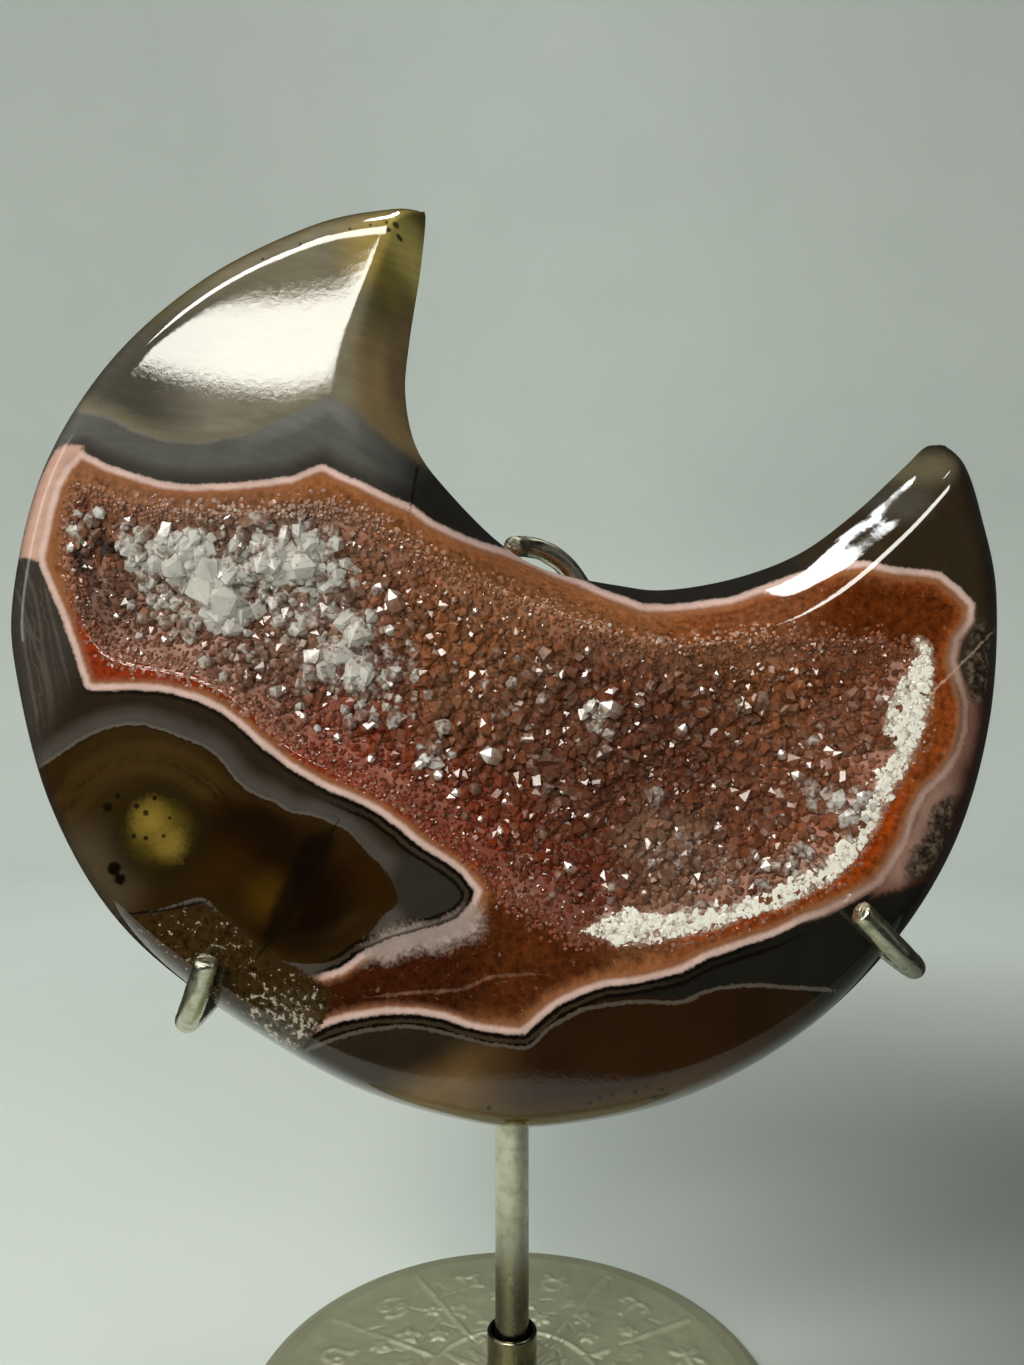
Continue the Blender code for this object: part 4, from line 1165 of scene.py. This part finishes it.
def starPoints(centre, radius, turn, count=5):
    angles = np.radians(turn + np.arange(2 * count + 1) * 180 / count)
    reach = np.where(np.arange(2 * count + 1) % 2, 0.42, 1.0) * radius
    return [(centre[0] + r * math.cos(a), centre[1] + r * math.sin(a)) for a, r in zip(angles, reach)]


def zodiacSigns():
    # Plain strokes of the twelve traditional signs, each in a box of about -1 to 1
    arc = arcPoints  # centre, radius, and where it starts and ends in degrees
    humps = [[(-0.8, 0.7), (-0.8, -0.6)], arc((-0.55, 0.45), 0.25, 180, 0, 6), [(-0.3, 0.45), (-0.3, -0.6)],
             arc((-0.05, 0.45), 0.25, 180, 0, 6)]
    return [
        [arc((-0.45, 0.35), 0.45, 200, 0), arc((0.45, 0.35), 0.45, 180, -20), [(0, 0.35), (0, -1)]],
        [arc((0, -0.35), 0.6, 0, 360, 20), arc((0, 0.85), 0.6, 200, 340)],
        [[(-0.4, 0.7), (-0.4, -0.7)], [(0.4, 0.7), (0.4, -0.7)], arc((0, 1.5), 1.0, 230, 310),
         arc((0, -1.5), 1.0, 50, 130)],
        [arc((-0.45, 0.3), 0.28, 0, 360), arc((0.1, 0.1), 0.9, 160, 30), arc((0.45, -0.3), 0.28, 0, 360),
         arc((-0.1, -0.1), 0.9, 340, 210)],
        [arc((-0.4, -0.2), 0.32, 0, 360), arc((0.1, 0.3), 0.55, 200, -30), [(0.58, 0.02), (0.5, -0.8), (0.8, -0.9)]],
        [*humps, [(0.2, 0.45), (0.2, -0.5), (0.7, -0.9)], arc((0.45, 0.0), 0.3, 120, -90)],
        [[(-0.8, -0.8), (0.8, -0.8)], [(-0.8, -0.4), (-0.3, -0.4)], [(0.3, -0.4), (0.8, -0.4)],
         arc((0, 0.1), 0.5, -50, 230, 16)],
        [*humps, [(0.2, 0.45), (0.2, -0.7), (0.8, -0.7), (0.6, -0.5)]],
        [[(-0.7, -0.8), (0.7, 0.8), (0.1, 0.75)], [(0.7, 0.8), (0.68, 0.15)], [(-0.5, 0.1), (0.15, -0.55)]],
        [[(-0.8, 0.7), (-0.4, 0.1), (-0.4, -0.7)], arc((0, 0.3), 0.4, 180, 0, 8), [(0.4, 0.3), (0.4, -0.3)],
         arc((0.55, -0.45), 0.28, 0, 360)],
        [
            [(-0.8, 0.1), (-0.5, 0.5), (-0.2, 0.1), (0.1, 0.5), (0.4, 0.1), (0.7, 0.5)],
            [(-0.8, -0.5), (-0.5, -0.1), (-0.2, -0.5), (0.1, -0.1), (0.4, -0.5), (0.7, -0.1)],
        ],
        [arc((-1.1, 0), 0.9, -55, 55), arc((1.1, 0), 0.9, 125, 235), [(-0.6, 0), (0.6, 0)]],
    ]


def castLines():
    # Everything raised on the base's top, as paths seen from above in mm
    def along(reach, angle):
        return reach * math.cos(angle), reach * math.sin(angle)

    lines = []
    for i in range(12):
        angle = math.radians(26 + i * 30 + 4)
        lines.append([along(13.5, angle), along(33.6, angle)])
    for i in range(24):
        angle, long = math.radians(i * 15 + 7.5), 12.4 if i % 2 else 10.2
        lines += [[along(6.2, angle + turn), along(long, angle)] for turn in (-0.1, 0.1)]
    lines += [arcPoints((0, 0), radius, 0, 360, 90) for radius in (5.6, 13.5)]
    for i, sign in enumerate(zodiacSigns()):
        angle = math.radians(45 + i * 30)
        outward = np.array(along(1, angle))
        across = np.array([outward[1], -outward[0]])
        size = base["signSize"]
        for stroke in sign:
            lines.append([tuple(outward * (base["signReach"] + size * v) + across * size * u) for u, v in stroke])
        for reach, offset, width in base["stars"]:
            lines.append(starPoints(along(reach, angle + offset), width, i * 37 % 90))
    return lines


def buildBase(material):
    inner, segments = base["socket"], base["segments"]
    angles = turnAngles(segments)
    radii = np.concatenate([[inner], np.linspace(inner + 0.25, base["edgeFrom"], base["rings"]),
                            np.linspace(base["edgeFrom"] + 0.3, base["radius"], base["edgeRings"])])
    top = np.repeat(np.interp(radii, *np.array(base["profile"]).T), segments)
    r, a = np.meshgrid(radii, angles, indexing="ij")
    flat = np.column_stack([(r * np.cos(a)).ravel(), (r * np.sin(a)).ravel()])
    raised = np.full(len(flat), 9.0)
    for line in castLines():
        path = np.array(line, float)
        low, high = path.min(axis=0) - 1, path.max(axis=0) + 1
        near = np.flatnonzero(((flat > low) & (flat < high)).all(axis=1))
        if len(near):
            raised[near] = np.minimum(raised[near], pathDistance(flat[near], path, closed=False))
    worn = np.clip(0.55 + 0.6 * softNoise(flat, 7, seed=8), 0.1, 1)  # handling has rubbed the relief unevenly
    relief = base["reliefHeight"] * worn * (1 - smoothStep(raised, base["lineHalf"] * 0.3, base["lineHalf"] * 2.4))
    nicks = np.full(len(flat), 99.0)
    for _ in range(base["nicks"]):
        reach, angle, turn = rng.uniform(9, 33), rng.uniform(0, 6.28), rng.uniform(0, 3.14)
        middle = reach * np.array([math.cos(angle), math.sin(angle)])
        half = rng.uniform(0.6, 1.9) * np.array([math.cos(turn), math.sin(turn)])
        near = np.flatnonzero(np.linalg.norm(flat - middle, axis=1) < 4)
        nick = pathDistance(flat[near], np.array([middle - half, middle + half]), closed=False)
        nicks[near] = np.minimum(nicks[near], nick)
    pitted = 0.05 * softNoise(flat, 1.4, seed=6) + 0.14 * softNoise(flat, 6, seed=7)
    pitted -= base["nickDepth"] * (1 - smoothStep(nicks, 0.05, 0.45))
    flatTop = 1 - smoothStep(np.hypot(*flat.T), 32, 39.5)
    z = np.minimum(top - base["fieldLow"] * flatTop + (relief + pitted * 0.6) * flatTop, top)
    under = [ringPoints(radius, height, angles) for radius, height in (*base["underside"], (inner, 0))]
    points = np.vstack([np.column_stack([flat, z]), *under])
    index = np.arange(len(points)).reshape(-1, segments)
    faces = gridFaces(np.vstack([index, index[:1]]), closed=True)
    plate = meshObject("cast_base", points, faces, material)
    relief = np.concatenate([relief / base["reliefHeight"], np.zeros(len(points) - len(relief))])
    setAttribute(plate, "relief", relief)
    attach(plate, "root")
    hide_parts("base")


def castPewter():
    # Sand-cast pewter with a matt lacquer: greenish grey, brighter where the relief is rubbed
    material, tree, shader = newMaterial("lacquered cast pewter", {"Metallic": 0.5})
    place = objectPlace(tree)
    speck = grain(tree, place, 0.5, 3)
    colour = mixColour(tree, grain(tree, place, 7.0, 4), hexColour("#808169"), hexColour("#94957b"))
    colour = mixColour(tree, readAttribute(tree, "relief"), colour, hexColour("#9a9b82"))
    setInputs(shader, {"Base Color": colour, "Roughness": mapRange(tree, speck, 0.0, 1.0, 0.36, 0.6),
                       "Normal": addBump(tree, speck, 0.4, 0.06)})
    return material


buildBase(castPewter())
print("metal done")

studio = dict(
    floorRadius=170, wallRadius=760, wallTop=1100, corner=260, sides=96,
    tableZ=-0.05,  # just under the base
    # Painted shade on the paper, where it dims away from the window, and a painted shadow of the stand and stone at
    # the lower right: axis and the mm where it starts and is full, then how much
    paintedShade=[([("X", -100, 500)], 0.2), ([("Z", 60, 700)], 0.1), ([("X", -30, 130), ("Y", 300, 20)], 0.76),
           ([("X", 150, -300)], 0.14), ([("Y", 420, 150)], 0.09)],
)


def studioPaper():
    # Uncoated paper: no gloss, a faint cloud, and painted shade: dimmer towards the lower right, away from the
    # window, with a painted shadow there
    paper, tree, shader = newMaterial("matt studio paper", {"Roughness": 0.95, "Specular IOR Level": 0.1})
    place = objectPlace(tree)
    axes = addNode(tree, "SeparateXYZ", {0: place}).outputs
    left = []
    for ranges, amount in studio["paintedShade"]:
        reached = [rampBetween(tree, axes[axis], start * mm, full * mm) for axis, start, full in ranges]
        left.append(addMath(tree, "SUBTRACT", 1.0, times(tree, *reached, amount)))
    colour = mixColour(tree, grain(tree, place, 60.0, 3), hexColour("#cdd4ce"), hexColour("#d4dad5"))
    setInputs(shader, {"Base Color": scaleColour(tree, colour, times(tree, *left))})
    return paper


def stagePiece(name, points, faces, material, reflected):
    obj = meshObject(name, points, faces, material)
    obj.visible_glossy = reflected
    return obj


def buildStudio():
    paper = studioPaper()
    sides, corner, wall, low = studio["sides"], studio["corner"], studio["wallRadius"], studio["tableZ"]
    profile = [(studio["floorRadius"], low), (300, low), (400, low)]
    for bend in np.radians(np.linspace(0, 90, 14)):
        profile.append((wall - corner + corner * math.sin(bend), corner * (1 - math.cos(bend)) + low))
    profile.append((wall, studio["wallTop"]))
    rings = [ringPoints(r, z, turnAngles(sides)) for r, z in profile]
    index = np.arange(len(rings) * sides).reshape(len(rings), sides)
    # Only the table near the stand shows in the polish; the wall behind the photographer was dark
    cove = stagePiece("studio_cove", np.vstack(rings), gridFaces(index, closed=True), paper, False)
    near = np.vstack([rings[0], rings[0] * [0.5, 0.5, 1], [[0, 0, low]]])
    faces = gridFaces(index[:2], closed=True)
    faces += [[sides + j, sides + (j + 1) % sides, 2 * sides] for j in range(sides)]
    return [cove, stagePiece("studio_table", near, faces, paper, True)]


def shapedPanel(name, corners, radiance, colour, diffuse=True, shadow=True):
    # A lit sheet facing the stone, with an outline of its own: the polish shows its shape
    material = newMaterial(name, {"Base Color": (0, 0, 0, 1), "Emission Color": hexColour(colour),
                                  "Emission Strength": radiance})[0]
    obj = meshObject(name, corners, [list(range(len(corners)))], material, smooth=False, normals=False)
    obj.visible_camera, obj.visible_diffuse, obj.visible_shadow = False, diffuse, shadow


def softbox(name, place, target, size, radiance, colour, only=None, roll=0.0, glossy=True):
    # Even panel; its power is worked out from the brightness wanted, in W per square metre and steradian
    light = bpy.data.lights.new(name, "AREA")
    light.shape, light.size, light.size_y = "RECTANGLE", size[0] * mm, size[1] * mm
    light.energy = radiance * math.pi * light.size * light.size_y
    light.color = hexColour(colour)[:3]
    lamp = bpy.data.objects.new(name, light)
    lamp.location = Vector(place) * mm
    aim = (Vector(target) - Vector(place)).to_track_quat("-Z", "Y")
    lamp.rotation_euler = (aim @ Quaternion((0, 0, 1), math.radians(roll))).to_euler()
    lamp.visible_camera, lamp.visible_glossy = False, glossy
    bpy.context.scene.collection.objects.link(lamp)
    if only:
        group = bpy.data.collections.new(name + " receivers")
        for obj in only:
            group.objects.link(obj)
        lamp.light_linking.receiver_collection = group


# Outlines of the lit panels as the polish mirrors them, in mm: x, z in front of the stone and x, y over it
panels = dict(
    frontY=-500,
    hornOutline=[
        (-246, 318), (-222, 304), (-199, 298), (-174, 293), (-143, 291), (-111, 297), (-98, 305), (-62, 345),
        (-62, 397), (-84, 370), (-105, 353), (-132, 347), (-171, 345), (-252, 345),
    ],
    ridgeOutline=[(-205, 470), (30, 372), (78, 372), (85, 420), (-60, 640), (-205, 640)],
    streakZ=430,
    streakOutline=[
        (18, 113), (11, 114), (3, 118), (-4, 125), (-10, 135), (-14, 153), (-21, 170), (-34, 187), (-38, 194),
        (-44, 197), (-45, 204), (-45, 212), (-38, 219), (-41, 211), (-48, 199), (-50, 187), (-53, 162), (-54, 139),
        (-61, 117), (-70, 82), (-75, 40), (-74, 3), (-64, 1), (-50, 11), (-38, 16), (-29, 18), (-22, 10),
        (-17, 14), (-8, 18), (-1, 28), (10, 69),
    ],
    flagZ=170,  # a black sheet that keeps the streak off the right tip
    flagOutline=[(33, -18), (33, -3), (38.5, 4), (42.2, 8), (44, 14), (70, 14), (70, -18)],
)


def lightStudio(stagePieces):
    metal = [o for o in bpy.data.objects if o.name in ("left_prong", "right_prong", "back_hook", "stand_rod",
                                                       "soldered_ferrule", "turned_collar", "cast_base")]
    front, ridge = ([(x, panels["frontY"], z) for x, z in panels[key]] for key in ("hornOutline", "ridgeOutline"))
    streak, flag = ([(x, y, panels[key + "Z"]) for x, y in panels[key + "Outline"]] for key in ("streak", "flag"))
    shapedPanel("panel above camera", front, 18.5, "#fffdf2")
    softbox("key", keyPlace, (0, -20, 110), (225, 150), 27, "#fffaf2", roll=27)
    shapedPanel("overhead panel", streak, 19, "#f9fcfa", diffuse=False)
    shapedPanel("black flag", flag, 0.0, "#000000", diffuse=False, shadow=False)
    softbox("overhead", (-62, 5, 700), (-62, 5, 0), (175, 210), 13, "#f6faf8", glossy=False)
    softbox("right of camera", (76, -500, 420), (20, -20, 120), (105, 70), 14, "#fffaf2", glossy=False)
    shapedPanel("narrow panel over camera", ridge, 18, "#fffdf2", diffuse=False)
    softbox("window left", (-560, -150, 250), (0, 0, 100), (200, 300), 2.2, "#f4f8f6")
    softbox("paper light", (-100, 150, 1050), (0, 100, 0), (900, 800), 2.2, "#f8fbf9", stagePieces)
    softbox("metal left", (-340, -330, 260), (0, 0, 60), (240, 600), 1.8, "#f2f6ee", metal)
    softbox("metal right", (430, -220, 240), (0, 0, 60), (120, 600), 0.2, "#f2f6ee", metal)
    softbox("metal above", (0, 60, 640), (0, 0, 0), (700, 600), 2.0, "#f4f7f0", metal)
    world = bpy.data.worlds.new("dim room")
    world.use_nodes = True
    setInputs(world.node_tree.nodes["Background"], {"Color": hexColour("#dfe6e2"), "Strength": 0.03})
    bpy.context.scene.world = world


def placeCamera():
    data = bpy.data.cameras.new("camera")
    data.sensor_width = 36
    data.lens = 36 * viewer["focalPx"] / viewer["longSidePx"]
    data.clip_start, data.clip_end = 0.005, 10
    camera = bpy.data.objects.new("camera", data)
    camera.location = (0, viewer["y"] * mm, viewer["z"] * mm)
    camera.rotation_euler = (math.radians(90), 0, 0)
    bpy.context.scene.collection.objects.link(camera)
    bpy.context.scene.camera = camera


lightStudio(buildStudio())
placeCamera()
bpy.context.scene.view_settings.view_transform = "Standard"
